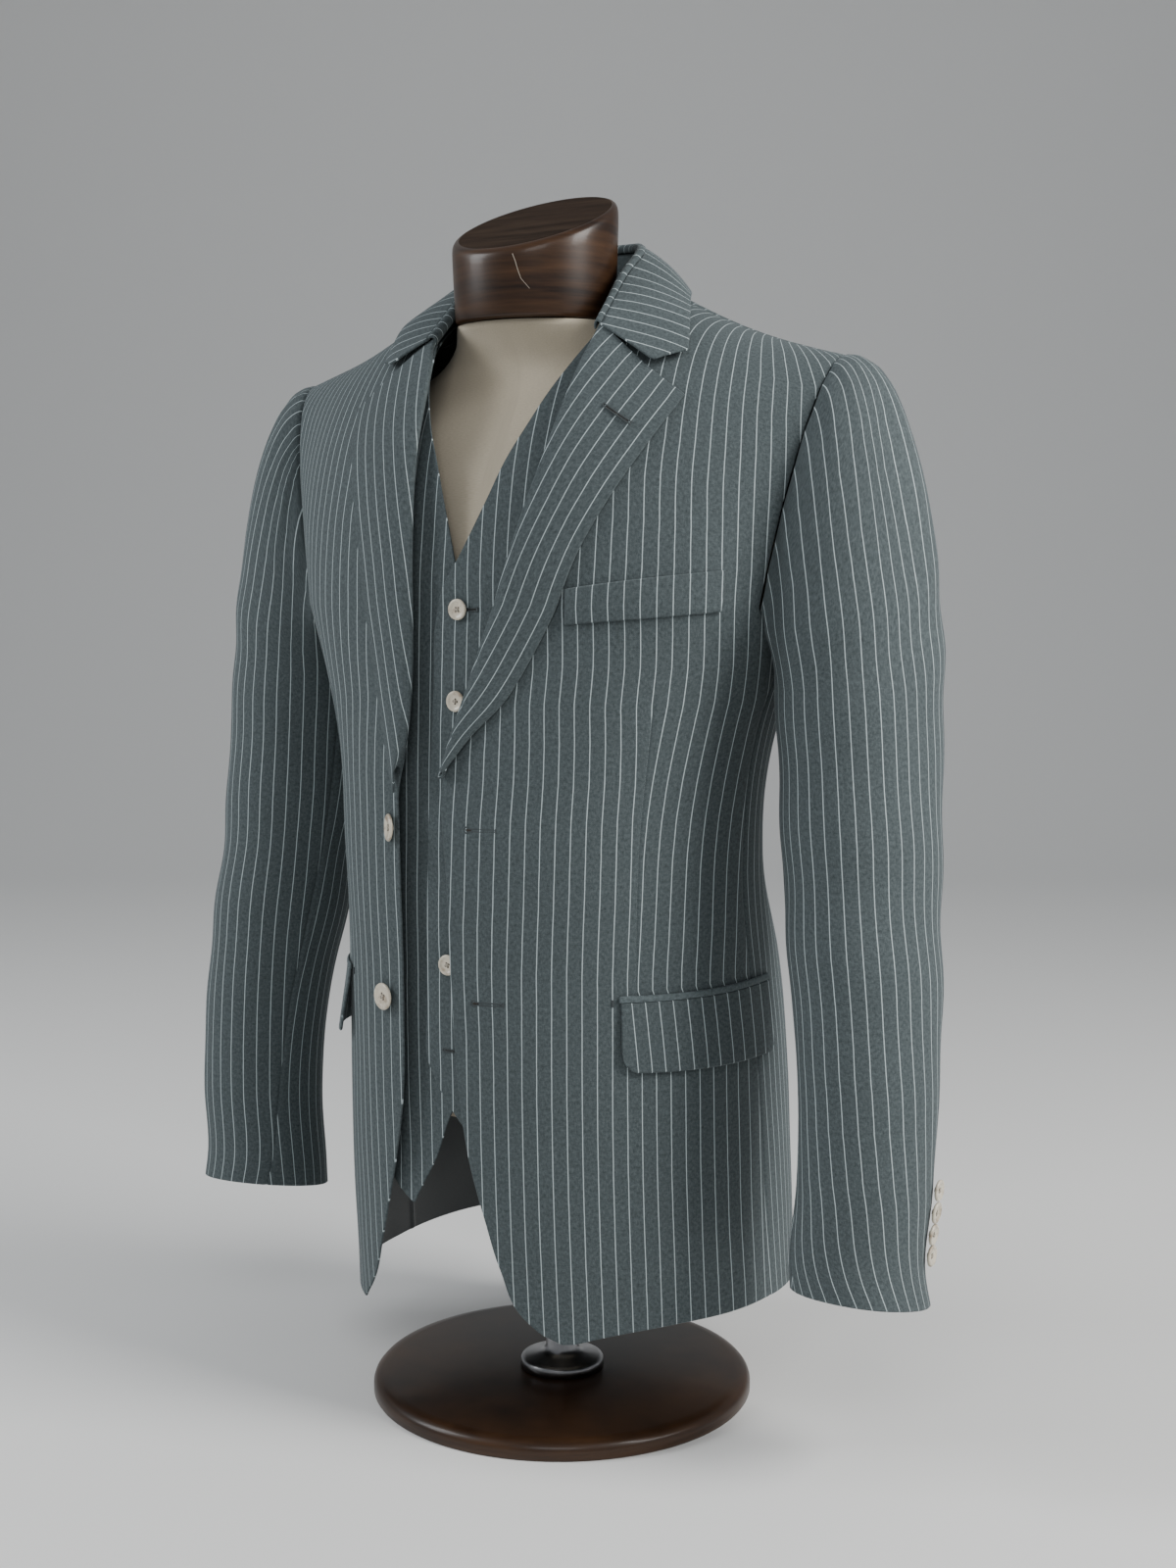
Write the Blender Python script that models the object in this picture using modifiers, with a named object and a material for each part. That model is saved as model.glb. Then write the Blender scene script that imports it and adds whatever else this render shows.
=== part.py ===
"""Pinstripe jacket and waistcoat on a limbless dress form.

Metres, +Z up. The wearer faces -Y, the wearer's left is +X. The origin is the
centre of the round base's underside.

Every panel of cloth is cut from one of two surfaces, the jacket's or the
waistcoat's. A surface takes two coordinates: s, the arc length round the body
from centre front to centre back, and h, the height up to the chest line and
from there the way up the breast or the back to the shoulder ridge.
"""

import math

import bmesh
import bpy
import numpy as np

# ---------------------------------------------------------------- sizes
CLOTH = 0.0016  # suit cloth with its fusing
THIN_CLOTH = 0.0013  # waistcoat cloth
SEAM_GAP = 0.0012  # between two panels at a seam
SLEEVE_GAP = 0.0018  # between the two pieces of a sleeve
LAY_GAP = 0.0013  # between a panel and what lies on it

CHEST_Z = 0.600  # chest line: ring sections below it, hoops over the shoulder above
RIDGE_H = 0.870  # height coordinate of the shoulder ridge
UNDERARM_DROP = 0.030
SLEEVE_OFF = 0.0018  # from the armhole seam to the sleeve

SHOULDER_TIP = (0.228, 0.002, 0.771)
NECK_POINT = (0.083, 0.008, 0.826)
NECK_BACK = (0.0, 0.056, 0.828)

WC_TIP = (0.150, 0.003, 0.785)
WC_NECK_POINT = (0.071, 0.008, 0.8125)
WC_NECK_BACK = (0.0, 0.050, 0.812)

BUTTON_FRONT_R = 0.0098
BUTTON_CUFF_R = 0.0075
BUTTON_WC_R = 0.0074
BUTTON_T = 0.0030

BASE_R, BASE_T = 0.145, 0.014
POST_R = 0.0125
TORSO_FOOT_Z = 0.235

# Jacket body rings, outer face.
# height, half_width, front_depth, back_depth, front_squareness, back_squareness
JACKET_RINGS = [
    (0.080, 0.166, 0.138, 0.176, 1.95, 2.60),
    (0.160, 0.164, 0.143, 0.168, 2.05, 2.60),
    (0.250, 0.162, 0.147, 0.157, 2.10, 2.65),
    (0.340, 0.160, 0.148, 0.138, 2.15, 2.55),
    (0.420, 0.159, 0.148, 0.100, 2.30, 2.20),
    (0.500, 0.166, 0.144, 0.099, 2.35, 2.25),
    (0.550, 0.180, 0.139, 0.109, 2.40, 2.35),
    (0.600, 0.200, 0.136, 0.122, 2.40, 2.40),
]
# Waistcoat rings, outer face.
WAISTCOAT_RINGS = [
    (0.200, 0.153, 0.1360, 0.121, 2.10, 2.15),
    (0.260, 0.152, 0.1375, 0.116, 2.15, 2.15),
    (0.340, 0.149, 0.1385, 0.100, 2.20, 2.15),
    (0.420, 0.147, 0.1380, 0.085, 2.25, 2.15),
    (0.500, 0.152, 0.1350, 0.089, 2.30, 2.25),
    (0.560, 0.162, 0.1325, 0.099, 2.35, 2.35),
    (0.600, 0.171, 0.1305, 0.108, 2.40, 2.40),
]
# Dress form torso and neck.
# height, half_width, front_depth, back_depth, centre_y, squareness
FORM_RINGS = [
    (0.235, 0.134, 0.1190, 0.104, 0.0, 2.15),
    (0.250, 0.1422, 0.1285, 0.1078, 0.0, 2.15),
    (0.290, 0.1420, 0.1292, 0.1010, 0.0, 2.15),
    (0.340, 0.140, 0.1295, 0.091, 0.0, 2.15),
    (0.420, 0.138, 0.1290, 0.077, 0.0, 2.15),
    (0.500, 0.141, 0.1260, 0.080, 0.0, 2.20),
    (0.560, 0.149, 0.1235, 0.089, 0.0, 2.25),
    (0.600, 0.158, 0.1210, 0.097, 0.0, 2.30),
    (0.650, 0.166, 0.1150, 0.098, 0.0, 2.35),
    (0.695, 0.168, 0.0990, 0.091, 0.0, 2.30),
    (0.725, 0.163, 0.0830, 0.080, 0.0, 2.20),
    (0.745, 0.146, 0.0700, 0.069, 0.0, 2.10),
    (0.760, 0.122, 0.0620, 0.060, 0.000, 2.05),
    (0.773, 0.096, 0.0580, 0.053, -0.004, 2.00),
    (0.786, 0.075, 0.0560, 0.049, -0.014, 2.00),
    (0.800, 0.063, 0.0565, 0.050, -0.026, 2.00),
]
NECK_RX, NECK_RY, NECK_Y = 0.0600, 0.0590, -0.034
NECK_FOOT_Z, NECK_TOP_Z, NECK_TILT = 0.8010, 0.8736, math.radians(24.8)

# Arc positions on the chest ring of the columns that end at the armhole and at
# the neck point of the shoulder seam.
S_ARM_FRONT, S_ARM_BACK = 0.222, 0.345
S_SIDE_TOP = 0.259  # where the front side seam meets the armhole
S_NECK_FRONT, S_NECK_BACK = 0.088, 0.088
WC_ARM_FRONT, WC_ARM_BACK = 0.168, 0.306
WC_NECK_FRONT, WC_NECK_BACK_S = 0.074, 0.074

# Front edge, then roll line above the break: how far from centre front.
# height, left, right
FRONT_EDGE = [
    (0.0780, 0.0860, 0.1230),
    (0.0860, 0.0780, 0.1140),
    (0.0903, 0.0680, 0.1085),
    (0.0995, 0.0558, 0.0995),
    (0.1367, 0.0367, 0.0800),
    (0.1704, 0.0266, 0.0665),
    (0.2118, 0.0155, 0.0535),
    (0.2548, 0.0088, 0.0450),
    (0.3182, 0.0037, 0.0430),
    (0.3700, 0.0012, 0.0430),
    (0.4102, -0.0007, 0.0440),
    (0.4450, -0.0040, 0.0453),
    (0.4718, -0.0062, 0.0462),
    (0.5008, 0.0020, 0.0400),
    (0.5509, 0.0174, 0.0370),
    (0.5928, 0.0317, 0.0378),
    (0.6307, 0.0474, 0.0398),
    (0.6820, 0.0672, 0.0444),
    (0.7280, 0.0781, 0.0475),
    (0.7713, 0.0835, 0.0570),
    (0.8200, 0.0858, 0.0760),
    (0.8700, 0.0870, 0.0862),
]
# Hem height round the body.
# arc_from_front, left, right
HEM = [
    (0.060, 0.0860, 0.0780),
    (0.088, 0.0860, 0.0780),
    (0.105, 0.0900, 0.0780),
    (0.130, 0.0945, 0.0780),
    (0.155, 0.0970, 0.0790),
    (0.212, 0.0970, 0.0840),
    (0.300, 0.0900, 0.0880),
    (0.400, 0.0900, 0.0900),
    (0.550, 0.0900, 0.0900),
]
# Panel seams from hem to chest: arc of the front seam and of the back seam.
# height, front_seam, back_seam
SIDE_SEAMS = [
    (0.080, 0.268, 0.370),
    (0.250, 0.259, 0.354),
    (0.420, 0.238, 0.328),
    (0.520, 0.246, 0.336),
    (0.560, 0.257, 0.344),
    (0.575, 0.259, 0.345),
    (0.600, 0.259, 0.345),
]
# Lapels, station by station up the roll line.
# roll_height, left_edge_s, left_edge_h, right_edge_s, right_edge_h
LAPELS = [
    (0.4850, 0.0005, 0.4880, 0.0475, 0.4700),
    (0.5080, 0.0190, 0.5120, 0.0570, 0.5000),
    (0.5400, 0.0440, 0.5380, 0.0690, 0.5420),
    (0.5800, 0.0680, 0.5780, 0.0790, 0.5860),
    (0.6200, 0.0900, 0.6220, 0.0880, 0.6220),
    (0.6600, 0.1120, 0.6600, 0.1000, 0.6560),
    (0.7000, 0.1290, 0.6920, 0.1120, 0.6930),
    (0.7350, 0.1420, 0.7230, 0.1160, 0.7140),
]
# Top edge of a lapel: gorge seam from the roll line to the notch, then the free
# edge to the tip.
# side, gorge_s, gorge_h, notch_s, notch_h, tip_s, tip_h
LAPEL_TOPS = {
    "L": (0.0835, 0.7713, 0.1224, 0.7500, 0.1469, 0.7388),
    "R": (0.0560, 0.7650, 0.0854, 0.7400, 0.1165, 0.7267),
}
# Collar fall on one side, from its front end round to the centre back.
# roll_x, roll_y, roll_z, edge_s, edge_h
COLLAR_L = [
    (0.0800, -0.0765, 0.7925, 0.1400, 0.7765),
    (0.0765, -0.0530, 0.8110, 0.1300, 0.8120),
    (0.0720, -0.0270, 0.8310, 0.1180, 0.8440),
    (0.0665, 0.0060, 0.8505, 0.1090, 0.8640),
    (0.0470, 0.0385, 0.8600, 0.4600, 0.8380),
    (0.0290, 0.0590, 0.8640, 0.5000, 0.8120),
    (0.0000, 0.0650, 0.8650, 0.5396, 0.8040),
]
COLLAR_R = [
    (0.0560, -0.0880, 0.7880, 0.0991, 0.7551),
    (0.0600, -0.0600, 0.8080, 0.1050, 0.8000),
    (0.0640, -0.0300, 0.8300, 0.1080, 0.8400),
    (0.0655, 0.0060, 0.8505, 0.1090, 0.8640),
    (0.0470, 0.0385, 0.8600, 0.4600, 0.8380),
    (0.0290, 0.0590, 0.8640, 0.5000, 0.8120),
    (0.0000, 0.0650, 0.8650, 0.5396, 0.8040),
]
# Foot of the collar stand along the neckline, left side.
# x, y, z
STAND_FOOT = [
    (0.0765, -0.0330, 0.8080),
    (0.0755, -0.0150, 0.8170),
    (0.0735, 0.0060, 0.8260),
    (0.0570, 0.0350, 0.8300),
    (0.0310, 0.0500, 0.8315),
    (0.0000, 0.0535, 0.8320),
]
# Sleeve rings below the biceps.
# height, centre_x, centre_y, half_x, half_y
SLEEVE_RINGS = [
    (0.1300, 0.2642, -0.0348, 0.0470, 0.0523),
    (0.1490, 0.2625, -0.0360, 0.0460, 0.0505),
    (0.2100, 0.2665, -0.0345, 0.0455, 0.0500),
    (0.2806, 0.2655, -0.0280, 0.0475, 0.0525),
    (0.3450, 0.2590, -0.0190, 0.0505, 0.0580),
    (0.4130, 0.2510, -0.0100, 0.0525, 0.0615),
    (0.4800, 0.2460, -0.0030, 0.0540, 0.0650),
    (0.5450, 0.2410, 0.0020, 0.0555, 0.0690),
]
BICEPS_Z, CUFF_Z, CUFF_SLANT, CUFF_RISE = 0.545, 0.1300, 0.0060, 0.0080
# How the sleeve head leaves the armhole, by the angle round the sleeve
# (0 at the top or outside, 90 front, 180 underarm, 270 back).
# angle, out_x, out_y, out_z, leave, arrive
SLEEVE_HEAD = [
    (0, 1.00, 0.00, 0.10, 0.125, 0.350),
    (45, 0.90, -0.42, 0.00, 0.115, 0.280),
    (90, 0.70, -0.65, -0.25, 0.075, 0.150),
    (135, 0.55, -0.30, -0.75, 0.030, 0.070),
    (180, 0.40, 0.00, -0.92, 0.014, 0.030),
    (225, 0.55, 0.30, -0.75, 0.030, 0.070),
    (270, 0.70, 0.65, -0.25, 0.075, 0.150),
    (315, 0.90, 0.42, 0.00, 0.115, 0.280),
    (360, 1.00, 0.00, 0.10, 0.125, 0.350),
]
# The two sleeve seams, which turn round the arm on their way down; the first
# rows stand for the head, at the armhole and half way to the biceps.
# height, front_seam, back_seam
SLEEVE_SEAMS = [
    (0.1236, 132.0, 300.0),
    (0.2000, 147.0, 296.0),
    (0.2900, 154.0, 280.0),
    (0.3800, 158.0, 266.0),
    (0.4800, 160.0, 254.0),
    (0.5450, 158.0, 250.0),
    (0.7000, 148.0, 246.0),
]
CUFF_BUTTON_ANGLE, CUFF_BUTTON_TOP, CUFF_BUTTON_STEP = 342.0, 0.2080, 0.0153

# Pockets on the fronts: arcs and heights of the corners on the jacket surface.
WELT = dict(s0=0.0862, s1=0.1905, low0=0.5895, low1=0.5985, high0=0.6095, high1=0.6240)
FLAP = dict(s0=0.1262, s1=0.2735, low0=0.2830, low1=0.2768, high0=0.3303, high1=0.3283)
JET = dict(s0=0.1249, s1=0.2745, low0=0.3312, low1=0.3292, high0=0.3352, high1=0.3335)
FLAP_FLARE = dict(L=0.0008, R=0.0055)  # how far the flap's lower edge stands off

# Waistcoat neck edge and front edge: how far from centre front, negative where a
# front crosses it. The left front lies over the right one.
# height, left, right
WC_FRONT_EDGE = [
    (0.1700, 0.0310, 0.0460),
    (0.1900, 0.0310, 0.0345),
    (0.2070, 0.0310, 0.0240),
    (0.2374, 0.0020, 0.0110),
    (0.2560, -0.0130, 0.0010),
    (0.2792, -0.0262, -0.0120),
    (0.3150, -0.0262, -0.0170),
    (0.4100, -0.0248, -0.0170),
    (0.5078, -0.0228, -0.0170),
    (0.5487, -0.0214, -0.0170),
    (0.5900, -0.0206, -0.0140),
    (0.6100, -0.0155, 0.0020),
    (0.6275, -0.0019, 0.0085),
    (0.6600, 0.0185, 0.0205),
    (0.6829, 0.0296, 0.0298),
    (0.7082, 0.0430, 0.0420),
    (0.7306, 0.0526, 0.0520),
    (0.7510, 0.0605, 0.0600),
    (0.7754, 0.0672, 0.0668),
    (0.8100, 0.0712, 0.0710),
    (0.8700, 0.0735, 0.0735),
]
# Waistcoat hem: a point at each front, the right one hanging lower, level to the back.
# arc_from_front, height on the left, on the right
WC_HEM = [
    (0.028, 0.2070, 0.1700),
    (0.038, 0.2085, 0.1700),
    (0.046, 0.2127, 0.1705),
    (0.060, 0.2200, 0.1790),
    (0.085, 0.2325, 0.2000),
    (0.110, 0.2450, 0.2230),
    (0.160, 0.2590, 0.2520),
    (0.220, 0.2640, 0.2640),
    (0.450, 0.2640, 0.2640),
]
# height, seam
WC_SIDE_SEAM = [(0.200, 0.218), (0.420, 0.202), (0.600, 0.234)]
WC_UNDERARM_DROP = 0.060
WC_LAP_DROP = 0.0034  # how far the right front lies under the left one's face
# s, height
WC_BUTTONS = [(-0.0009, 0.5985), (-0.0009, 0.5351), (-0.0030, 0.4728), (-0.0052, 0.4115), (-0.0078, 0.3502)]
FRONT_BUTTONS = [(0.0530, 0.4448), (0.0605, 0.3224)]

# Colours and finish.
# name, red, green, blue, roughness, metallic
FINISHES = {
    "suit_cloth": (0.105, 0.125, 0.130, 0.90, 0.0),
    "waistcoat_back_cloth": (0.070, 0.080, 0.085, 0.45, 0.0),
    "button_horn": (0.640, 0.560, 0.450, 0.35, 0.0),
    "form_jersey": (0.500, 0.440, 0.340, 0.85, 0.0),
    "form_wood": (0.090, 0.035, 0.020, 0.25, 0.0),
    "form_steel": (0.350, 0.350, 0.360, 0.30, 1.0),
}


# ---------------------------------------------------------------- curves
def column(table, col, x):
    """Smooth value of a table's column; the first column is the key."""
    rows = np.array(table, float)
    xs, ys = rows[:, 0], rows[:, col]
    x = np.asarray(x, float)
    if len(xs) > 2:
        m = np.gradient(ys, xs)
    else:
        m = np.full(len(xs), (ys[-1] - ys[0]) / (xs[-1] - xs[0]))
    i = np.clip(np.searchsorted(xs, x, side="right") - 1, 0, len(xs) - 2)
    d = xs[i + 1] - xs[i]
    q = np.clip((x - xs[i]) / d, 0, 1)
    return (
        (2 * q**3 - 3 * q**2 + 1) * ys[i]
        + (q**3 - 2 * q**2 + q) * d * m[i]
        + (3 * q**2 - 2 * q**3) * ys[i + 1]
        + (q**3 - q**2) * d * m[i + 1]
    )


def along(rows, t):
    """Smooth point at t, 0 to 1, through equally spaced rows of coordinates."""
    rows = np.array(rows, float)
    key = np.linspace(0, 1, len(rows))[:, None]
    table = np.hstack([key, rows])
    return np.stack([column(table, c + 1, t) for c in range(rows.shape[1])], -1)


# ---------------------------------------------------------------- body surfaces
def ring_curves(rings, z, n=97):
    a, front, back, qf, qb = (column(rings, c, z)[:, None] for c in (1, 2, 3, 4, 5))
    angle = np.linspace(0, math.pi, n)[None, :]
    sin, cos = np.sin(angle), np.cos(angle)
    q = np.where(cos > 0, qf, qb)
    x = a * np.abs(sin) ** (2 / q)
    y = -np.sign(cos) * np.where(cos > 0, front, back) * np.abs(cos) ** (2 / q)
    step = np.hypot(np.diff(x), np.diff(y))
    arc = np.concatenate([np.zeros((len(x), 1)), np.cumsum(step, 1)], 1)
    return x, y, arc


def half_length(rings, z):
    return ring_curves(rings, np.atleast_1d(np.asarray(z, float)))[2][:, -1]


def ring_point(rings, s, z):
    x, y, arc = ring_curves(rings, z)
    length = arc[:, -1]
    side = np.where((s < 0) | (s > length), -1, 1)
    q = np.where(s < 0, -s, np.where(s > length, 2 * length - s, s))
    k = np.clip((arc <= q[:, None]).sum(1) - 1, 0, arc.shape[1] - 2)
    r = np.arange(len(s))
    f = (q - arc[r, k]) / (arc[r, k + 1] - arc[r, k])
    px = side * (x[r, k] + f * (x[r, k + 1] - x[r, k]))
    return px, y[r, k] + f * (y[r, k + 1] - y[r, k])


class Surface:
    """The outer face of a fitted garment's body, from hem to shoulder ridge."""

    def __init__(self, rings, tip, neck, back, arm_front, arm_back, neck_front, neck_back, sag):
        self.rings = rings
        self.tip, self.neck, self.back = (np.array(p) for p in (tip, neck, back))
        self.arm_front, self.arm_back = arm_front, arm_back
        self.neck_front, self.neck_back = neck_front, neck_back
        self.sag = sag
        self.length = half_length(rings, CHEST_Z)[0]

    def ridge(self, s):
        """Point of the shoulder seam, or of the neckline, that column s ends at."""
        front = s <= (self.arm_front + self.arm_back) / 2
        inner = self.length - self.neck_back
        f = np.where(
            front,
            (s - self.neck_front) / (self.arm_front - self.neck_front),
            (inner - s) / (inner - self.arm_back),
        )
        f = np.clip(f, 0, 1.3)
        point = self.neck + (self.tip - self.neck) * f[:, None]
        point[:, 2] -= self.sag * np.sin(math.pi * np.clip(f, 0, 1))
        at = front & (s < self.neck_front)
        k = s[at] / self.neck_front
        point[at] = np.stack(
            [self.neck[0] * k, self.neck[1] - 0.03 * (1 - k), self.neck[2] + 0.004 * (1 - k)], 1
        )
        at = ~front & (s > inner)
        k = (s[at] - inner) / self.neck_back * math.pi / 2
        point[at] = np.stack(
            [
                self.neck[0] * np.cos(k),
                self.neck[1] + (self.back[1] - self.neck[1]) * np.sin(k),
                self.neck[2] + (self.back[2] - self.neck[2]) * np.sin(k),
            ],
            1,
        )
        return point

    def __call__(self, s, h):
        s, h = np.broadcast_arrays(np.asarray(s, float), np.asarray(h, float))
        shape, s, h = s.shape, s.ravel(), h.ravel()
        z = np.minimum(h, CHEST_Z)
        x, y = ring_point(self.rings, s, z)
        point = np.stack([x, y, z], 1)
        up = h > CHEST_Z
        if up.any():
            length = self.length
            su = s[up]
            side = np.where((su < 0) | (su > length), -1, 1)
            folded = np.where(su < 0, -su, np.where(su > length, 2 * length - su, su))
            top = self.ridge(folded)
            top[:, 0] *= side
            turn = (1 - np.clip((h[up] - CHEST_Z) / (RIDGE_H - CHEST_Z), 0, 1)) * math.pi / 2
            fall = 1 - np.cos(turn)
            chest = point[up]
            hoop = top.copy()
            hoop[:, 0] += (chest[:, 0] - top[:, 0]) * fall
            hoop[:, 1] += (chest[:, 1] - top[:, 1]) * np.sin(turn) ** 0.88
            hoop[:, 2] += (chest[:, 2] - top[:, 2]) * fall
            point[up] = hoop
        return point.reshape(shape + (3,))

    def out(self, s, h, distance):
        """The point moved out from the surface."""
        e = 0.0015
        s, h = np.broadcast_arrays(np.asarray(s, float), np.asarray(h, float))
        h = np.minimum(h, RIDGE_H - 0.004)
        across = self(s + e, h) - self(s - e, h)
        upward = self(s, h + e) - self(s, h - e)
        normal = np.cross(across, upward)
        normal /= np.linalg.norm(normal, axis=-1)[..., None]
        return self(s, h) + normal * np.asarray(distance)[..., None]


JACKET = Surface(
    JACKET_RINGS, SHOULDER_TIP, NECK_POINT, NECK_BACK,
    S_ARM_FRONT, S_ARM_BACK, S_NECK_FRONT, S_NECK_BACK, 0.006,
)
WAISTCOAT = Surface(
    WAISTCOAT_RINGS, WC_TIP, WC_NECK_POINT, WC_NECK_BACK,
    WC_ARM_FRONT, WC_ARM_BACK, WC_NECK_FRONT, WC_NECK_BACK_S, 0.003,
)


# ---------------------------------------------------------------- blender helpers
def clear_scene():
    for obj in list(bpy.data.objects):
        bpy.data.objects.remove(obj, do_unlink=True)


def finish_material(name):
    found = bpy.data.materials.get(name)
    if found:
        return found
    red, green, blue, rough, metal = FINISHES[name]
    made = bpy.data.materials.new(name)
    made.use_nodes = True
    shader = made.node_tree.nodes["Principled BSDF"]
    shader.inputs["Base Color"].default_value = (red, green, blue, 1)
    shader.inputs["Roughness"].default_value = rough
    shader.inputs["Metallic"].default_value = metal
    made.diffuse_color = (red, green, blue, 1)
    return made


def add_object(name, bm, finish, home, smooth=True):
    mesh = bpy.data.meshes.new(name)
    bm.to_mesh(mesh)
    bm.free()
    obj = bpy.data.objects.new(name, mesh)
    home.objects.link(obj)
    mesh.materials.append(finish_material(finish))
    if smooth:
        mesh.shade_smooth()
        mesh.set_sharp_from_angle(angle=math.radians(40))
    return obj


def panel(name, points, finish, home, mirror=False, thickness=CLOTH, flip=False):
    """A cloth panel: a grid of points on its outer face, walled inwards."""
    points = np.array(points, float)
    if mirror:
        points = points * (-1, 1, 1)
    rows, cols = points.shape[:2]
    bm = bmesh.new()
    grid = [[bm.verts.new(points[r, c]) for c in range(cols)] for r in range(rows)]
    for r in range(rows - 1):
        for c in range(cols - 1):
            loop = [grid[r][c], grid[r][c + 1], grid[r + 1][c + 1], grid[r + 1][c]]
            bm.faces.new(loop[::-1] if mirror != flip else loop)
    obj = add_object(name, bm, finish, home)
    wall = obj.modifiers.new("wall", "SOLIDIFY")
    wall.thickness = thickness
    wall.offset = -1
    wall.use_even_offset = True
    return obj


def loft(name, rings, finish, home):
    """A closed solid through closed rings, bottom to top, with flat ends."""
    bm = bmesh.new()
    loops = [[bm.verts.new(p) for p in ring] for ring in rings]
    count = len(loops[0])
    for low, high in zip(loops, loops[1:]):
        for k in range(count):
            j = (k + 1) % count
            bm.faces.new([low[j], low[k], high[k], high[j]])
    bm.faces.new(loops[0])
    bm.faces.new(loops[-1][::-1])
    return add_object(name, bm, finish, home)


def turned(name, profile, steps, finish, home):
    """A turned solid from a profile of (radius, height), top to bottom, closed on the axis."""
    bm = bmesh.new()
    verts = [bm.verts.new((r, 0, z)) for r, z in profile]
    for a, b in zip(verts, verts[1:]):
        bm.edges.new((a, b))
    obj = add_object(name, bm, finish, home, smooth=False)
    screw = obj.modifiers.new("turn", "SCREW")
    screw.steps = screw.render_steps = steps
    screw.use_merge_vertices = True
    screw.merge_threshold = 0.00005
    screw.use_smooth_shade = True
    return obj


def button(name, radius, thickness, at, normal, finish, home, steps=12):
    """A flat button with a raised rim, standing on its sewing face at a point."""
    profile = [
        (0.0, thickness * 0.72),
        (radius * 0.68, thickness * 0.72),
        (radius * 0.80, thickness),
        (radius * 0.92, thickness),
        (radius, thickness * 0.55),
        (radius * 0.86, 0.0),
        (0.0, 0.0),
    ]
    obj = turned(name, profile, steps, finish, home)
    normal = np.array(normal, float)
    normal /= np.linalg.norm(normal)
    up = np.array([0, 0, 1.0])
    turn = np.cross(up, normal)
    angle = math.atan2(np.linalg.norm(turn), float(up @ normal))
    turn /= np.linalg.norm(turn)
    obj.rotation_mode = "AXIS_ANGLE"
    obj.rotation_axis_angle = (angle, *turn)
    obj.location = at
    return obj


# ---------------------------------------------------------------- jacket panels
def hem_lift(side, s):
    """Hem height at arc s, above the lowest row of the front edge."""
    return column(HEM, 1 if side == "L" else 2, s)


def scoop(s):
    """Height of the armhole's underside at arc s."""
    f = np.clip((s - S_ARM_FRONT) / (S_ARM_BACK - S_ARM_FRONT), 0, 1)
    return CHEST_Z - UNDERARM_DROP * np.sin(math.pi * f) ** 0.85


def front_panel(side, rows_low, rows_high, cols):
    """From the front edge, or the roll line above the break, to the side seam and armhole."""
    col = 1 if side == "L" else 2
    u = np.linspace(0, 1, cols)[None, :]
    corner = np.linspace(S_SIDE_TOP, S_ARM_FRONT, 5)
    low_top = scoop(corner[0])
    level = np.concatenate(
        [
            np.linspace(0, 1, rows_low) ** 1.15 * (low_top - 0.086) + 0.086,
            scoop(corner[1:]),
            np.linspace(CHEST_Z, RIDGE_H - 0.002, rows_high)[1:],
        ]
    )
    s0, s1 = np.full(len(level), 0.1), np.full(len(level), 0.2)
    for _ in range(6):
        # each row runs level from its own height at the edge to its own at the seam
        s = s0[:, None] + (s1 - s0)[:, None] * u
        low = hem_lift(side, s[0])[None, :]
        fade = np.clip(1 - (level - 0.086) / 0.23, 0, 1)[:, None] ** 1.5
        h = level[:, None] + (low - 0.086) * fade
        s0 = column(FRONT_EDGE, col, h[:, 0]) + SEAM_GAP / 2
        s1 = column(SIDE_SEAMS, 1, h[:, -1])
        s1[rows_low - 1 : rows_low + 4] = corner
        s1[rows_low + 4 :] = S_ARM_FRONT
        s1 -= SEAM_GAP / 2
    return JACKET(s, h)


def side_panel(side, rows, cols):
    """Between the front and the back, scooped under the arm."""
    v = np.linspace(0, 1, rows)[:, None]
    u = np.linspace(0, 1, cols)[None, :]
    top = scoop(S_SIDE_TOP + (S_ARM_BACK - S_SIDE_TOP) * u) - 0.0006
    low = hem_lift(side, 0.268 + 0.102 * u)
    h = low + v * (top - low)
    s0 = column(SIDE_SEAMS, 1, h) + SEAM_GAP / 2
    s1 = column(SIDE_SEAMS, 2, h) - 1.8 * SEAM_GAP
    return JACKET(s0 + (s1 - s0) * u, h)


def back_panel(side, rows, cols):
    """From the side body to the centre back seam, up to the shoulder and the neckline."""
    v = np.linspace(0, 1, rows)[:, None]
    u = np.linspace(0, 1, cols)[None, :]
    low = hem_lift(side, 0.370 + 0.135 * u)
    h = low + v * (RIDGE_H - 0.002 - low)
    z = np.minimum(h, CHEST_Z)
    s0 = np.where(h < CHEST_Z, column(SIDE_SEAMS, 2, h), S_ARM_BACK) + SEAM_GAP / 2
    s1 = half_length(JACKET_RINGS, z[:, 0])[:, None] - SEAM_GAP / 2
    return JACKET(s0 + (s1 - s0) * u, h)


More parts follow.
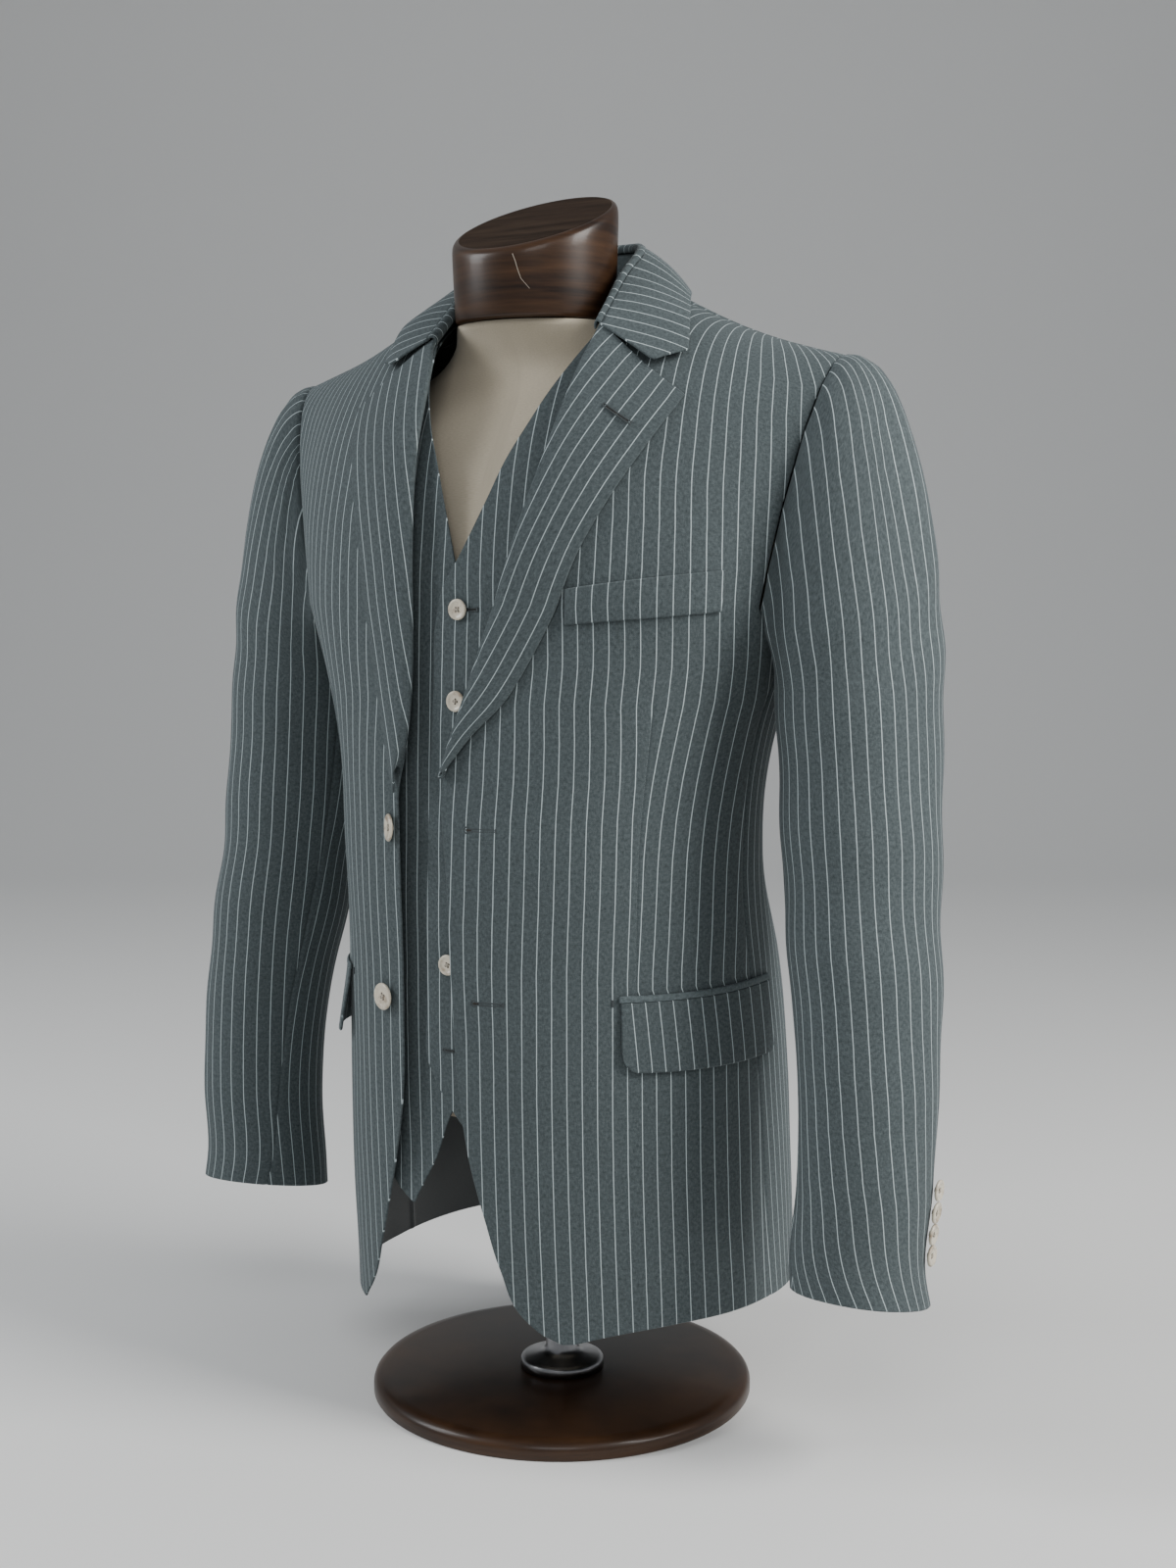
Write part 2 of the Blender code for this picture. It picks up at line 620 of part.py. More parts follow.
def lapel_panel(side, rows, cols):
    """The turned-back facing, from the break to the gorge seam, lying on the front."""
    col = 1 if side == "L" else 2
    edge = np.array([(r[1], r[2]) if side == "L" else (r[3], r[4]) for r in LAPELS])
    gs, gh, ns, nh, ts, th = LAPEL_TOPS[side]
    roll_h = np.append([r[0] for r in LAPELS], gh)
    edge = np.vstack([edge, (ts, th)])
    t = np.linspace(0, 1, rows)
    key = np.linspace(0, 1, len(roll_h))
    rh = column(np.stack([key, roll_h], 1), 1, t)
    es = column(np.column_stack([key, edge]), 1, t)
    eh = column(np.column_stack([key, edge]), 2, t)
    w = np.linspace(0, 1, cols)[None, :]
    rs = column(FRONT_EDGE, col, rh) + 0.0004
    rs[-1] = gs
    s = rs[:, None] + (es - rs)[:, None] * w
    h = rh[:, None] + (eh - rh)[:, None] * w
    # the top row bends at the notch
    bend = np.clip((t - 0.72) / 0.28, 0, 1)[:, None]
    share = math.hypot(ns - gs, nh - gh) / (math.hypot(ns - gs, nh - gh) + math.hypot(ts - ns, th - nh))
    line_s = np.where(w < share, gs + (ns - gs) * w / share, ns + (ts - ns) * (w - share) / (1 - share))
    line_h = np.where(w < share, gh + (nh - gh) * w / share, nh + (th - nh) * (w - share) / (1 - share))
    s += bend**2 * (line_s - (gs + (ts - gs) * w))
    h += bend**2 * (line_h - (gh + (th - gh) * w))
    fade = np.sin(math.pi * np.clip(t, 0, 1) ** 0.8)[:, None]
    away = LAY_GAP + CLOTH + 0.0035 * np.sin(math.pi * w**0.6) * (0.35 + 0.65 * fade)
    return JACKET.out(s, h, away)


def collar_rows(side):
    """Roll line and outer edge of the fall, front end to centre back, for one side."""
    table = COLLAR_L if side == "L" else COLLAR_R
    roll = np.array([r[:3] for r in table])
    edge = JACKET.out([r[3] for r in table], [r[4] for r in table], np.full(len(table), 0.0046))
    return roll, edge


def collar_fall(cols_half, across):
    """The fall, from its left front end round the neck to its right one."""
    halves = []
    for side, sign in (("L", 1), ("R", -1)):
        roll, edge = collar_rows(side)
        gs, gh, ns, nh, ts, th = LAPEL_TOPS[side]
        notch = JACKET.out(ns + 0.001, nh + 0.004, 0.0046)
        t = np.linspace(0, 1, cols_half)
        top, low = along(roll, t), along(edge, t)
        w = np.linspace(0, 1, across)
        rows = []
        for k in range(cols_half):
            line = top[k] + (low[k] - top[k]) * w[:, None]
            chord = low[k] - top[k]
            outward = np.array([line[:, 0].mean(), line[:, 1].mean() * 0.9, 0.06])
            outward -= chord * (outward @ chord) / (chord @ chord)
            outward /= np.linalg.norm(outward)
            line = line + outward * (0.0028 * np.sin(math.pi * w) ** 0.8)[:, None]
            # the front end runs down the gorge to the notch before it turns out
            pull = np.clip(1 - t[k] / 0.16, 0, 1) ** 1.5
            middle = 0.5 * (top[k] + low[k])
            line = line + pull * (notch - middle) * (1 - np.abs(2 * w - 1))[:, None]
            rows.append(line * (sign, 1, 1))
        halves.append(rows)
    return np.array(halves[0] + halves[1][-2::-1])


def collar_stand(cols_half, across):
    """The stand, from the neckline up to just inside the roll line."""
    halves = []
    for side, sign in (("L", 1), ("R", -1)):
        roll, _ = collar_rows(side)
        t = np.linspace(0, 1, cols_half)
        foot = along(STAND_FOOT, t)
        top = along(roll[1:], t)
        centre = np.array([0.0, -0.03, 0])
        inward = centre - top
        inward[:, 2] = 0
        inward /= np.linalg.norm(inward, axis=1)[:, None]
        top = top + inward * 0.0030 - np.array([0, 0, 0.0035])
        w = np.linspace(0, 1, across)
        rows = [foot[k] + (top[k] - foot[k]) * w[:, None] for k in range(cols_half)]
        halves.append([r * (sign, 1, 1) for r in rows])
    return np.array(halves[0] + halves[1][-2::-1])


# ---------------------------------------------------------------- sleeves
def armhole_point(angle):
    """Point of the armhole seam at an angle round it, in degrees."""
    angle = np.mod(angle, 360.0)
    point = np.empty((len(angle), 3))
    top = RIDGE_H - 0.001
    front = angle <= 140
    f = angle[front] / 140
    point[front] = JACKET(np.full(front.sum(), S_ARM_FRONT), top + (CHEST_Z - top) * f)
    under = (angle > 140) & (angle < 220)
    f = (angle[under] - 140) / 80
    s = S_ARM_FRONT + (S_ARM_BACK - S_ARM_FRONT) * f
    point[under] = JACKET(s, scoop(s))
    back = angle >= 220
    f = (360 - angle[back]) / 140
    point[back] = JACKET(np.full(back.sum(), S_ARM_BACK), top + (CHEST_Z - top) * f)
    return point


def sleeve_ring(angle, z):
    cx, cy, hx, hy = (column(SLEEVE_RINGS, c, z) for c in (1, 2, 3, 4))
    a = np.radians(angle)
    return np.stack([cx + hx * np.cos(a), cy - hy * np.sin(a), z + 0 * a], -1)


def sleeve_panel(piece, rows_head, rows_arm, cols):
    """One of the two pieces of the sleeve, from the armhole down to the cuff."""
    shift = math.degrees(SLEEVE_GAP / 2 / 0.052)
    u = np.linspace(0, 1, cols)
    lines = []
    for row in range(rows_head + rows_arm - 1):
        head = row < rows_head
        t = row / (rows_head - 1) if head else (row - rows_head + 1) / (rows_arm - 1)
        z = BICEPS_Z + (0.7 - BICEPS_Z) * (1 - t) if head else BICEPS_Z + (CUFF_Z - BICEPS_Z) * t
        front, back = float(column(SLEEVE_SEAMS, 1, z)), float(column(SLEEVE_SEAMS, 2, z))
        first, last = (back - 360, front) if piece == "top" else (front, back)
        wrapped = np.mod(first + shift + (last - first - 2 * shift) * u, 360.0)
        ring = sleeve_ring(wrapped, z)
        if head:
            out = np.stack([column(SLEEVE_HEAD, c, wrapped) for c in (1, 2, 3)], -1)
            out /= np.linalg.norm(out, axis=1)[:, None]
            leave, arrive = (column(SLEEVE_HEAD, c, wrapped)[:, None] for c in (4, 5))
            start = armhole_point(wrapped) + out * SLEEVE_OFF
            end = sleeve_ring(wrapped, BICEPS_Z)
            down = sleeve_ring(wrapped, BICEPS_Z - 0.01) - end
            down /= np.linalg.norm(down, axis=1)[:, None]
            ring = (
                (2 * t**3 - 3 * t**2 + 1) * start
                + (t**3 - 2 * t**2 + t) * out * leave
                + (3 * t**2 - 2 * t**3) * end
                + (t**3 - t**2) * down * arrive
            )
        else:
            middle = sleeve_ring(np.array([0.0, 180.0]), z).mean(0)
            away = (ring[:, 0] - middle[0]) * 0.85 + (ring[:, 1] - middle[1]) * 0.52
            ahead = (ring[:, 0] - middle[0]) * 0.52 - (ring[:, 1] - middle[1]) * 0.85
            ring[:, 2] -= (CUFF_SLANT * away - CUFF_RISE * ahead) / 0.047 * t**6
        lines.append(ring)
    return np.array(lines)[::-1]


def cuff_seat(z, angle):
    """Point and normal of the sleeve's outer face."""
    at = sleeve_ring(np.array([angle]), z)[0]
    ahead = sleeve_ring(np.array([angle + 2]), z)[0]
    above = sleeve_ring(np.array([angle]), z + 0.004)[0]
    normal = np.cross(above - at, ahead - at)
    return at, normal / np.linalg.norm(normal)


# ---------------------------------------------------------------- things on the fronts
def patch_on_front(s0, s1, low0, low1, high0, high1, cols, rows, away, round_low=0.0, flare=0.0):
    """A four-cornered patch lying on the jacket's surface, moved out."""
    u = np.linspace(0, 1, cols)[None, :]
    v = np.linspace(0, 1, rows)[:, None]
    low = low0 + (low1 - low0) * u
    high = high0 + (high1 - high0) * u
    if round_low:
        low = low + round_low * np.clip(1 - u * (s1 - s0) / round_low, 0, 1) ** 2
    s = s0 + (s1 - s0) * u + 0 * v
    return JACKET.out(s, low + (high - low) * v, away + flare * (1 - v) ** 1.3 + 0 * s)


# ---------------------------------------------------------------- waistcoat panels
def waistcoat_front(side, rows, cols):
    col = 1 if side == "L" else 2
    v = np.linspace(0, 1, rows)
    u = np.linspace(0, 1, cols)[None, :] ** 1.1
    top = RIDGE_H - 0.002
    dip = CHEST_Z - WC_UNDERARM_DROP
    s0, s1 = np.full(rows, 0.0), np.full(rows, 0.2)
    for _ in range(8):
        s = s0[:, None] + (s1 - s0)[:, None] * u
        low = column(WC_HEM, col, s[0])[None, :]
        fade = np.clip(1 - v / 0.34, 0, 1)[:, None] ** 1.5
        base = low.min()
        h = base + v[:, None] * (top - base) + (low - base) * fade
        s0 = column(WC_FRONT_EDGE, col, h[:, 0])
        seam = column(WC_SIDE_SEAM, 1, h[:, -1])
        climb = np.clip((h[:, -1] - dip) / (CHEST_Z + 0.03 - dip), 0, 1)
        s1 = seam + (WC_ARM_FRONT - seam) * np.sin(climb * math.pi / 2) ** 0.8 - SEAM_GAP / 2
    away = np.zeros_like(s)
    if side == "R":
        away -= WC_LAP_DROP * np.clip((0.060 - s) / 0.028, 0, 1) * np.clip((0.70 - h) / 0.06, 0, 1)
    return WAISTCOAT.out(s, h, away)


def waistcoat_back(rows, cols):
    v = np.linspace(0, 1, rows)
    u = np.linspace(0, 1, cols)[None, :]
    low = WC_HEM[-1][1]
    h = low + v * (RIDGE_H - 0.002 - low)
    seam = column(WC_SIDE_SEAM, 1, h)
    dip = CHEST_Z - WC_UNDERARM_DROP
    climb = np.clip((h - dip) / (CHEST_Z + 0.03 - dip), 0, 1)
    s0 = seam + (WC_ARM_BACK - seam) * np.sin(climb * math.pi / 2) ** 0.8 + SEAM_GAP / 2
    length = half_length(WAISTCOAT_RINGS, np.minimum(h, CHEST_Z))
    s1 = 2 * length - s0
    s = s0[:, None] + (s1 - s0)[:, None] * u
    return WAISTCOAT.out(s, h[:, None] + 0 * s, np.zeros_like(s))


# ---------------------------------------------------------------- dress form
def form_ring(z, count):
    a, front, back, cy, q = (float(column(FORM_RINGS, c, z)) for c in range(1, 6))
    ring = []
    for k in range(count):
        t = 2 * math.pi * k / count
        sin, cos = math.sin(t), math.cos(t)
        x = a * math.copysign(abs(sin) ** (2 / q), sin)
        depth = front if cos > 0 else back
        ring.append((-x, cy - depth * math.copysign(abs(cos) ** (2 / q), cos), z))
    return ring


def neck_block(home, count=28):
    """A wooden cap on the neck with a rounded rim; its top slopes forward."""
    rings = []
    # share of the height, radius share
    for share, wide in ((0.0, 0.955), (0.03, 0.965), (0.45, 0.985), (0.86, 1.0), (0.95, 0.985), (1.0, 0.945)):
        ring = []
        for k in range(count):
            t = 2 * math.pi * k / count
            x = -NECK_RX * wide * math.sin(t)
            dy = -NECK_RY * wide * math.cos(t)
            top = NECK_TOP_Z + dy * math.tan(NECK_TILT)
            ring.append((x, NECK_Y + dy, NECK_FOOT_Z + (top - NECK_FOOT_Z) * share))
        rings.append(ring)
    return loft("form_neck", rings, "form_wood", home)


def make_form(home):
    heights = [r[0] for r in FORM_RINGS]
    fine = sorted(heights + [(a + b) / 2 for a, b in zip(heights[2:9], heights[3:10])])
    loft("form_torso", [form_ring(z, 28) for z in fine], "form_jersey", home)
    neck_block(home)
    turned(
        "form_base",
        [(0.0, BASE_T), (BASE_R - 0.010, BASE_T), (BASE_R - 0.003, BASE_T - 0.002), (BASE_R, BASE_T - 0.006), (BASE_R, 0.0), (0.0, 0.0)],
        40, "form_wood", home,
    )
    turned(
        "form_post",
        [
            (0.0, TORSO_FOOT_Z - 0.0004),
            (0.034, TORSO_FOOT_Z - 0.0004),
            (0.034, TORSO_FOOT_Z - 0.0050),
            (POST_R, TORSO_FOOT_Z - 0.0060),
            (POST_R, BASE_T + 0.0110),
            (0.030, BASE_T + 0.0090),
            (0.032, BASE_T + 0.0004),
            (0.0, BASE_T + 0.0004),
        ],
        20, "form_steel", home,
    )


# ---------------------------------------------------------------- the whole part
def make_jacket(home):
    cloth = "suit_cloth"
    for side, mirror in (("L", False), ("R", True)):
        panel("jacket_front_" + side, front_panel(side, 18, 10, 11), cloth, home, mirror)
        panel("jacket_side_" + side, side_panel(side, 15, 5), cloth, home, mirror)
        panel("jacket_back_" + side, back_panel(side, 20, 8), cloth, home, mirror)
        panel("lapel_" + side, lapel_panel(side, 15, 7), cloth, home, mirror)
        panel(
            "top_sleeve_" + side,
            sleeve_panel("top", 8, 12, 14)[:, ::-1],
            cloth, home, mirror,
        )
        panel(
            "under_sleeve_" + side,
            sleeve_panel("under", 8, 12, 7)[:, ::-1],
            cloth, home, mirror,
        )
        f, j = FLAP, JET
        away = LAY_GAP + CLOTH
        panel(
            "flap_" + side,
            patch_on_front(**f, cols=10, rows=4, away=away, round_low=0.016, flare=FLAP_FLARE[side]),
            cloth, home, mirror,
        )
        panel(
            "jet_" + side,
            patch_on_front(**j, cols=10, rows=2, away=away),
            cloth, home, mirror,
        )
    panel(
        "breast_welt",
        patch_on_front(**WELT, cols=8, rows=3, away=LAY_GAP + CLOTH),
        cloth, home,
    )
    panel("collar_fall", collar_fall(13, 6), cloth, home, flip=True)
    panel("collar_stand", collar_stand(10, 3), cloth, home)


def make_buttons(home):
    flip = np.array([-1, 1, 1])
    for k, (s, h) in enumerate(FRONT_BUTTONS):
        at = JACKET(np.array([s]), np.array([h]))[0]
        out = JACKET.out(np.array([s]), np.array([h]), 0.01)[0] - at
        seat = (at + out / np.linalg.norm(out) * 0.0014) * flip
        button(f"front_button_{k + 1}", BUTTON_FRONT_R, BUTTON_T, seat, out * flip, "button_horn", home, 14)
    for side, sign in (("L", 1), ("R", -1)):
        for k in range(4):
            at, normal = cuff_seat(CUFF_BUTTON_TOP - CUFF_BUTTON_STEP * k, CUFF_BUTTON_ANGLE)
            flip = np.array([sign, 1, 1])
            button(
                f"cuff_button_{side}{k + 1}", BUTTON_CUFF_R, BUTTON_T * 0.9,
                (at + normal * 0.0014) * flip, normal * flip, "button_horn", home,
            )
    for k, (s, h) in enumerate(WC_BUTTONS):
        at = WAISTCOAT(np.array([s]), np.array([h]))[0]
        button(f"waistcoat_button_{k + 1}", BUTTON_WC_R, BUTTON_T * 0.8, at + np.array([0, -0.0008, 0]), (0, -1, 0), "button_horn", home)


def make_waistcoat(home):
    for side, mirror in (("L", False), ("R", True)):
        panel("waistcoat_front_" + side, waistcoat_front(side, 18, 8), "suit_cloth", home, mirror, THIN_CLOTH)
    panel("waistcoat_back", waistcoat_back(14, 12), "waistcoat_back_cloth", home, thickness=THIN_CLOTH)


def main():
    clear_scene()
    home = bpy.data.collections.new("pinstripe_suit_on_dress_form")
    bpy.context.scene.collection.children.link(home)
    make_form(home)
    make_jacket(home)
    make_waistcoat(home)
    make_buttons(home)


main()
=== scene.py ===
import math

import bpy
import numpy as np
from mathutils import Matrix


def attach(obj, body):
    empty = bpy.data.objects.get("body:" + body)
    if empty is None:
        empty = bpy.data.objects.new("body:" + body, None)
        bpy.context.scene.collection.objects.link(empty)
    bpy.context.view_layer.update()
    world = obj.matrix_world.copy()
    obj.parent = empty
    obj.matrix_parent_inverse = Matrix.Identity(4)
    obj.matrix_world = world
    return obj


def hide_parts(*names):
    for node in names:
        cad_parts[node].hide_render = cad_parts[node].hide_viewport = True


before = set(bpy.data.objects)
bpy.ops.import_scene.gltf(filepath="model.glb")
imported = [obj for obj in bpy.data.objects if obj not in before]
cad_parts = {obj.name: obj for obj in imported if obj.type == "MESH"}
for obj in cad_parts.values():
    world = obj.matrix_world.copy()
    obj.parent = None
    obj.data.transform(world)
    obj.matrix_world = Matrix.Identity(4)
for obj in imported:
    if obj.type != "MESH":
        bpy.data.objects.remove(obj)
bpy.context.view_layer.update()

# ---------------------------------------------------------------- sizes
CLOTH = 0.0016  # suit cloth with its fusing
THIN_CLOTH = 0.0013  # waistcoat cloth
SEAM_GAP = 0.0012  # between two panels at a seam
SLEEVE_GAP = 0.0018  # between the two pieces of a sleeve
LAY_GAP = 0.0013  # between a panel and what lies on it

CHEST_Z = 0.600  # chest line: ring sections below it, hoops over the shoulder above
RIDGE_H = 0.870  # height coordinate of the shoulder ridge
UNDERARM_DROP = 0.030
SLEEVE_OFF = 0.0018  # from the armhole seam to the sleeve

SHOULDER_TIP = (0.228, 0.002, 0.771)
NECK_POINT = (0.083, 0.008, 0.826)
NECK_BACK = (0.0, 0.056, 0.828)

WC_TIP = (0.150, 0.003, 0.785)
WC_NECK_POINT = (0.071, 0.008, 0.8125)
WC_NECK_BACK = (0.0, 0.050, 0.812)

BUTTON_FRONT_R = 0.0098
BUTTON_CUFF_R = 0.0075
BUTTON_WC_R = 0.0074
BUTTON_T = 0.0030

BASE_R, BASE_T = 0.145, 0.014
POST_R = 0.0125
TORSO_FOOT_Z = 0.235

# Jacket body rings, outer face.
# height, half_width, front_depth, back_depth, front_squareness, back_squareness
JACKET_RINGS = [
    (0.080, 0.166, 0.138, 0.176, 1.95, 2.60),
    (0.160, 0.164, 0.143, 0.168, 2.05, 2.60),
    (0.250, 0.162, 0.147, 0.157, 2.10, 2.65),
    (0.340, 0.160, 0.148, 0.138, 2.15, 2.55),
    (0.420, 0.159, 0.148, 0.100, 2.30, 2.20),
    (0.500, 0.166, 0.144, 0.099, 2.35, 2.25),
    (0.550, 0.180, 0.139, 0.109, 2.40, 2.35),
    (0.600, 0.200, 0.136, 0.122, 2.40, 2.40),
]
# Waistcoat rings, outer face.
WAISTCOAT_RINGS = [
    (0.200, 0.153, 0.1360, 0.121, 2.10, 2.15),
    (0.260, 0.152, 0.1375, 0.116, 2.15, 2.15),
    (0.340, 0.149, 0.1385, 0.100, 2.20, 2.15),
    (0.420, 0.147, 0.1380, 0.085, 2.25, 2.15),
    (0.500, 0.152, 0.1350, 0.089, 2.30, 2.25),
    (0.560, 0.162, 0.1325, 0.099, 2.35, 2.35),
    (0.600, 0.171, 0.1305, 0.108, 2.40, 2.40),
]
# Dress form torso and neck.
# height, half_width, front_depth, back_depth, centre_y, squareness
FORM_RINGS = [
    (0.235, 0.134, 0.1190, 0.104, 0.0, 2.15),
    (0.250, 0.1422, 0.1285, 0.1078, 0.0, 2.15),
    (0.290, 0.1420, 0.1292, 0.1010, 0.0, 2.15),
    (0.340, 0.140, 0.1295, 0.091, 0.0, 2.15),
    (0.420, 0.138, 0.1290, 0.077, 0.0, 2.15),
    (0.500, 0.141, 0.1260, 0.080, 0.0, 2.20),
    (0.560, 0.149, 0.1235, 0.089, 0.0, 2.25),
    (0.600, 0.158, 0.1210, 0.097, 0.0, 2.30),
    (0.650, 0.166, 0.1150, 0.098, 0.0, 2.35),
    (0.695, 0.168, 0.0990, 0.091, 0.0, 2.30),
    (0.725, 0.163, 0.0830, 0.080, 0.0, 2.20),
    (0.745, 0.146, 0.0700, 0.069, 0.0, 2.10),
    (0.760, 0.122, 0.0620, 0.060, 0.000, 2.05),
    (0.773, 0.096, 0.0580, 0.053, -0.004, 2.00),
    (0.786, 0.075, 0.0560, 0.049, -0.014, 2.00),
    (0.800, 0.063, 0.0565, 0.050, -0.026, 2.00),
]
NECK_RX, NECK_RY, NECK_Y = 0.0600, 0.0590, -0.034
NECK_FOOT_Z, NECK_TOP_Z, NECK_TILT = 0.8010, 0.8736, math.radians(24.8)

# Arc positions on the chest ring of the columns that end at the armhole and at
# the neck point of the shoulder seam.
S_ARM_FRONT, S_ARM_BACK = 0.222, 0.345
S_SIDE_TOP = 0.259  # where the front side seam meets the armhole
S_NECK_FRONT, S_NECK_BACK = 0.088, 0.088
WC_ARM_FRONT, WC_ARM_BACK = 0.168, 0.306
WC_NECK_FRONT, WC_NECK_BACK_S = 0.074, 0.074

# Front edge, then roll line above the break: how far from centre front.
# height, left, right
FRONT_EDGE = [
    (0.0780, 0.0860, 0.1230),
    (0.0860, 0.0780, 0.1140),
    (0.0903, 0.0680, 0.1085),
    (0.0995, 0.0558, 0.0995),
    (0.1367, 0.0367, 0.0800),
    (0.1704, 0.0266, 0.0665),
    (0.2118, 0.0155, 0.0535),
    (0.2548, 0.0088, 0.0450),
    (0.3182, 0.0037, 0.0430),
    (0.3700, 0.0012, 0.0430),
    (0.4102, -0.0007, 0.0440),
    (0.4450, -0.0040, 0.0453),
    (0.4718, -0.0062, 0.0462),
    (0.5008, 0.0020, 0.0400),
    (0.5509, 0.0174, 0.0370),
    (0.5928, 0.0317, 0.0378),
    (0.6307, 0.0474, 0.0398),
    (0.6820, 0.0672, 0.0444),
    (0.7280, 0.0781, 0.0475),
    (0.7713, 0.0835, 0.0570),
    (0.8200, 0.0858, 0.0760),
    (0.8700, 0.0870, 0.0862),
]
# Hem height round the body.
# arc_from_front, left, right
HEM = [
    (0.060, 0.0860, 0.0780),
    (0.088, 0.0860, 0.0780),
    (0.105, 0.0900, 0.0780),
    (0.130, 0.0945, 0.0780),
    (0.155, 0.0970, 0.0790),
    (0.212, 0.0970, 0.0840),
    (0.300, 0.0900, 0.0880),
    (0.400, 0.0900, 0.0900),
    (0.550, 0.0900, 0.0900),
]
# Panel seams from hem to chest: arc of the front seam and of the back seam.
# height, front_seam, back_seam
SIDE_SEAMS = [
    (0.080, 0.268, 0.370),
    (0.250, 0.259, 0.354),
    (0.420, 0.238, 0.328),
    (0.520, 0.246, 0.336),
    (0.560, 0.257, 0.344),
    (0.575, 0.259, 0.345),
    (0.600, 0.259, 0.345),
]
# Lapels, station by station up the roll line.
# roll_height, left_edge_s, left_edge_h, right_edge_s, right_edge_h
LAPELS = [
    (0.4850, 0.0005, 0.4880, 0.0475, 0.4700),
    (0.5080, 0.0190, 0.5120, 0.0570, 0.5000),
    (0.5400, 0.0440, 0.5380, 0.0690, 0.5420),
    (0.5800, 0.0680, 0.5780, 0.0790, 0.5860),
    (0.6200, 0.0900, 0.6220, 0.0880, 0.6220),
    (0.6600, 0.1120, 0.6600, 0.1000, 0.6560),
    (0.7000, 0.1290, 0.6920, 0.1120, 0.6930),
    (0.7350, 0.1420, 0.7230, 0.1160, 0.7140),
]
# Top edge of a lapel: gorge seam from the roll line to the notch, then the free
# edge to the tip.
# side, gorge_s, gorge_h, notch_s, notch_h, tip_s, tip_h
LAPEL_TOPS = {
    "L": (0.0835, 0.7713, 0.1224, 0.7500, 0.1469, 0.7388),
    "R": (0.0560, 0.7650, 0.0854, 0.7400, 0.1165, 0.7267),
}
# Collar fall on one side, from its front end round to the centre back.
# roll_x, roll_y, roll_z, edge_s, edge_h
COLLAR_L = [
    (0.0800, -0.0765, 0.7925, 0.1400, 0.7765),
    (0.0765, -0.0530, 0.8110, 0.1300, 0.8120),
    (0.0720, -0.0270, 0.8310, 0.1180, 0.8440),
    (0.0665, 0.0060, 0.8505, 0.1090, 0.8640),
    (0.0470, 0.0385, 0.8600, 0.4600, 0.8380),
    (0.0290, 0.0590, 0.8640, 0.5000, 0.8120),
    (0.0000, 0.0650, 0.8650, 0.5396, 0.8040),
]
COLLAR_R = [
    (0.0560, -0.0880, 0.7880, 0.0991, 0.7551),
    (0.0600, -0.0600, 0.8080, 0.1050, 0.8000),
    (0.0640, -0.0300, 0.8300, 0.1080, 0.8400),
    (0.0655, 0.0060, 0.8505, 0.1090, 0.8640),
    (0.0470, 0.0385, 0.8600, 0.4600, 0.8380),
    (0.0290, 0.0590, 0.8640, 0.5000, 0.8120),
    (0.0000, 0.0650, 0.8650, 0.5396, 0.8040),
]
# Foot of the collar stand along the neckline, left side.
# x, y, z
STAND_FOOT = [
    (0.0765, -0.0330, 0.8080),
    (0.0755, -0.0150, 0.8170),
    (0.0735, 0.0060, 0.8260),
    (0.0570, 0.0350, 0.8300),
    (0.0310, 0.0500, 0.8315),
    (0.0000, 0.0535, 0.8320),
]
# Sleeve rings below the biceps.
# height, centre_x, centre_y, half_x, half_y
SLEEVE_RINGS = [
    (0.1300, 0.2642, -0.0348, 0.0470, 0.0523),
    (0.1490, 0.2625, -0.0360, 0.0460, 0.0505),
    (0.2100, 0.2665, -0.0345, 0.0455, 0.0500),
    (0.2806, 0.2655, -0.0280, 0.0475, 0.0525),
    (0.3450, 0.2590, -0.0190, 0.0505, 0.0580),
    (0.4130, 0.2510, -0.0100, 0.0525, 0.0615),
    (0.4800, 0.2460, -0.0030, 0.0540, 0.0650),
    (0.5450, 0.2410, 0.0020, 0.0555, 0.0690),
]
BICEPS_Z, CUFF_Z, CUFF_SLANT, CUFF_RISE = 0.545, 0.1300, 0.0060, 0.0080
# How the sleeve head leaves the armhole, by the angle round the sleeve
# (0 at the top or outside, 90 front, 180 underarm, 270 back).
# angle, out_x, out_y, out_z, leave, arrive
SLEEVE_HEAD = [
    (0, 1.00, 0.00, 0.10, 0.125, 0.350),
    (45, 0.90, -0.42, 0.00, 0.115, 0.280),
    (90, 0.70, -0.65, -0.25, 0.075, 0.150),
    (135, 0.55, -0.30, -0.75, 0.030, 0.070),
    (180, 0.40, 0.00, -0.92, 0.014, 0.030),
    (225, 0.55, 0.30, -0.75, 0.030, 0.070),
    (270, 0.70, 0.65, -0.25, 0.075, 0.150),
    (315, 0.90, 0.42, 0.00, 0.115, 0.280),
    (360, 1.00, 0.00, 0.10, 0.125, 0.350),
]
# The two sleeve seams, which turn round the arm on their way down; the first
# rows stand for the head, at the armhole and half way to the biceps.
# height, front_seam, back_seam
SLEEVE_SEAMS = [
    (0.1236, 132.0, 300.0),
    (0.2000, 147.0, 296.0),
    (0.2900, 154.0, 280.0),
    (0.3800, 158.0, 266.0),
    (0.4800, 160.0, 254.0),
    (0.5450, 158.0, 250.0),
    (0.7000, 148.0, 246.0),
]
CUFF_BUTTON_ANGLE, CUFF_BUTTON_TOP, CUFF_BUTTON_STEP = 342.0, 0.2080, 0.0153

# Pockets on the fronts: arcs and heights of the corners on the jacket surface.
WELT = dict(s0=0.0862, s1=0.1905, low0=0.5895, low1=0.5985, high0=0.6095, high1=0.6240)
FLAP = dict(s0=0.1262, s1=0.2735, low0=0.2830, low1=0.2768, high0=0.3303, high1=0.3283)
JET = dict(s0=0.1249, s1=0.2745, low0=0.3312, low1=0.3292, high0=0.3352, high1=0.3335)
FLAP_FLARE = dict(L=0.0008, R=0.0055)  # how far the flap's lower edge stands off

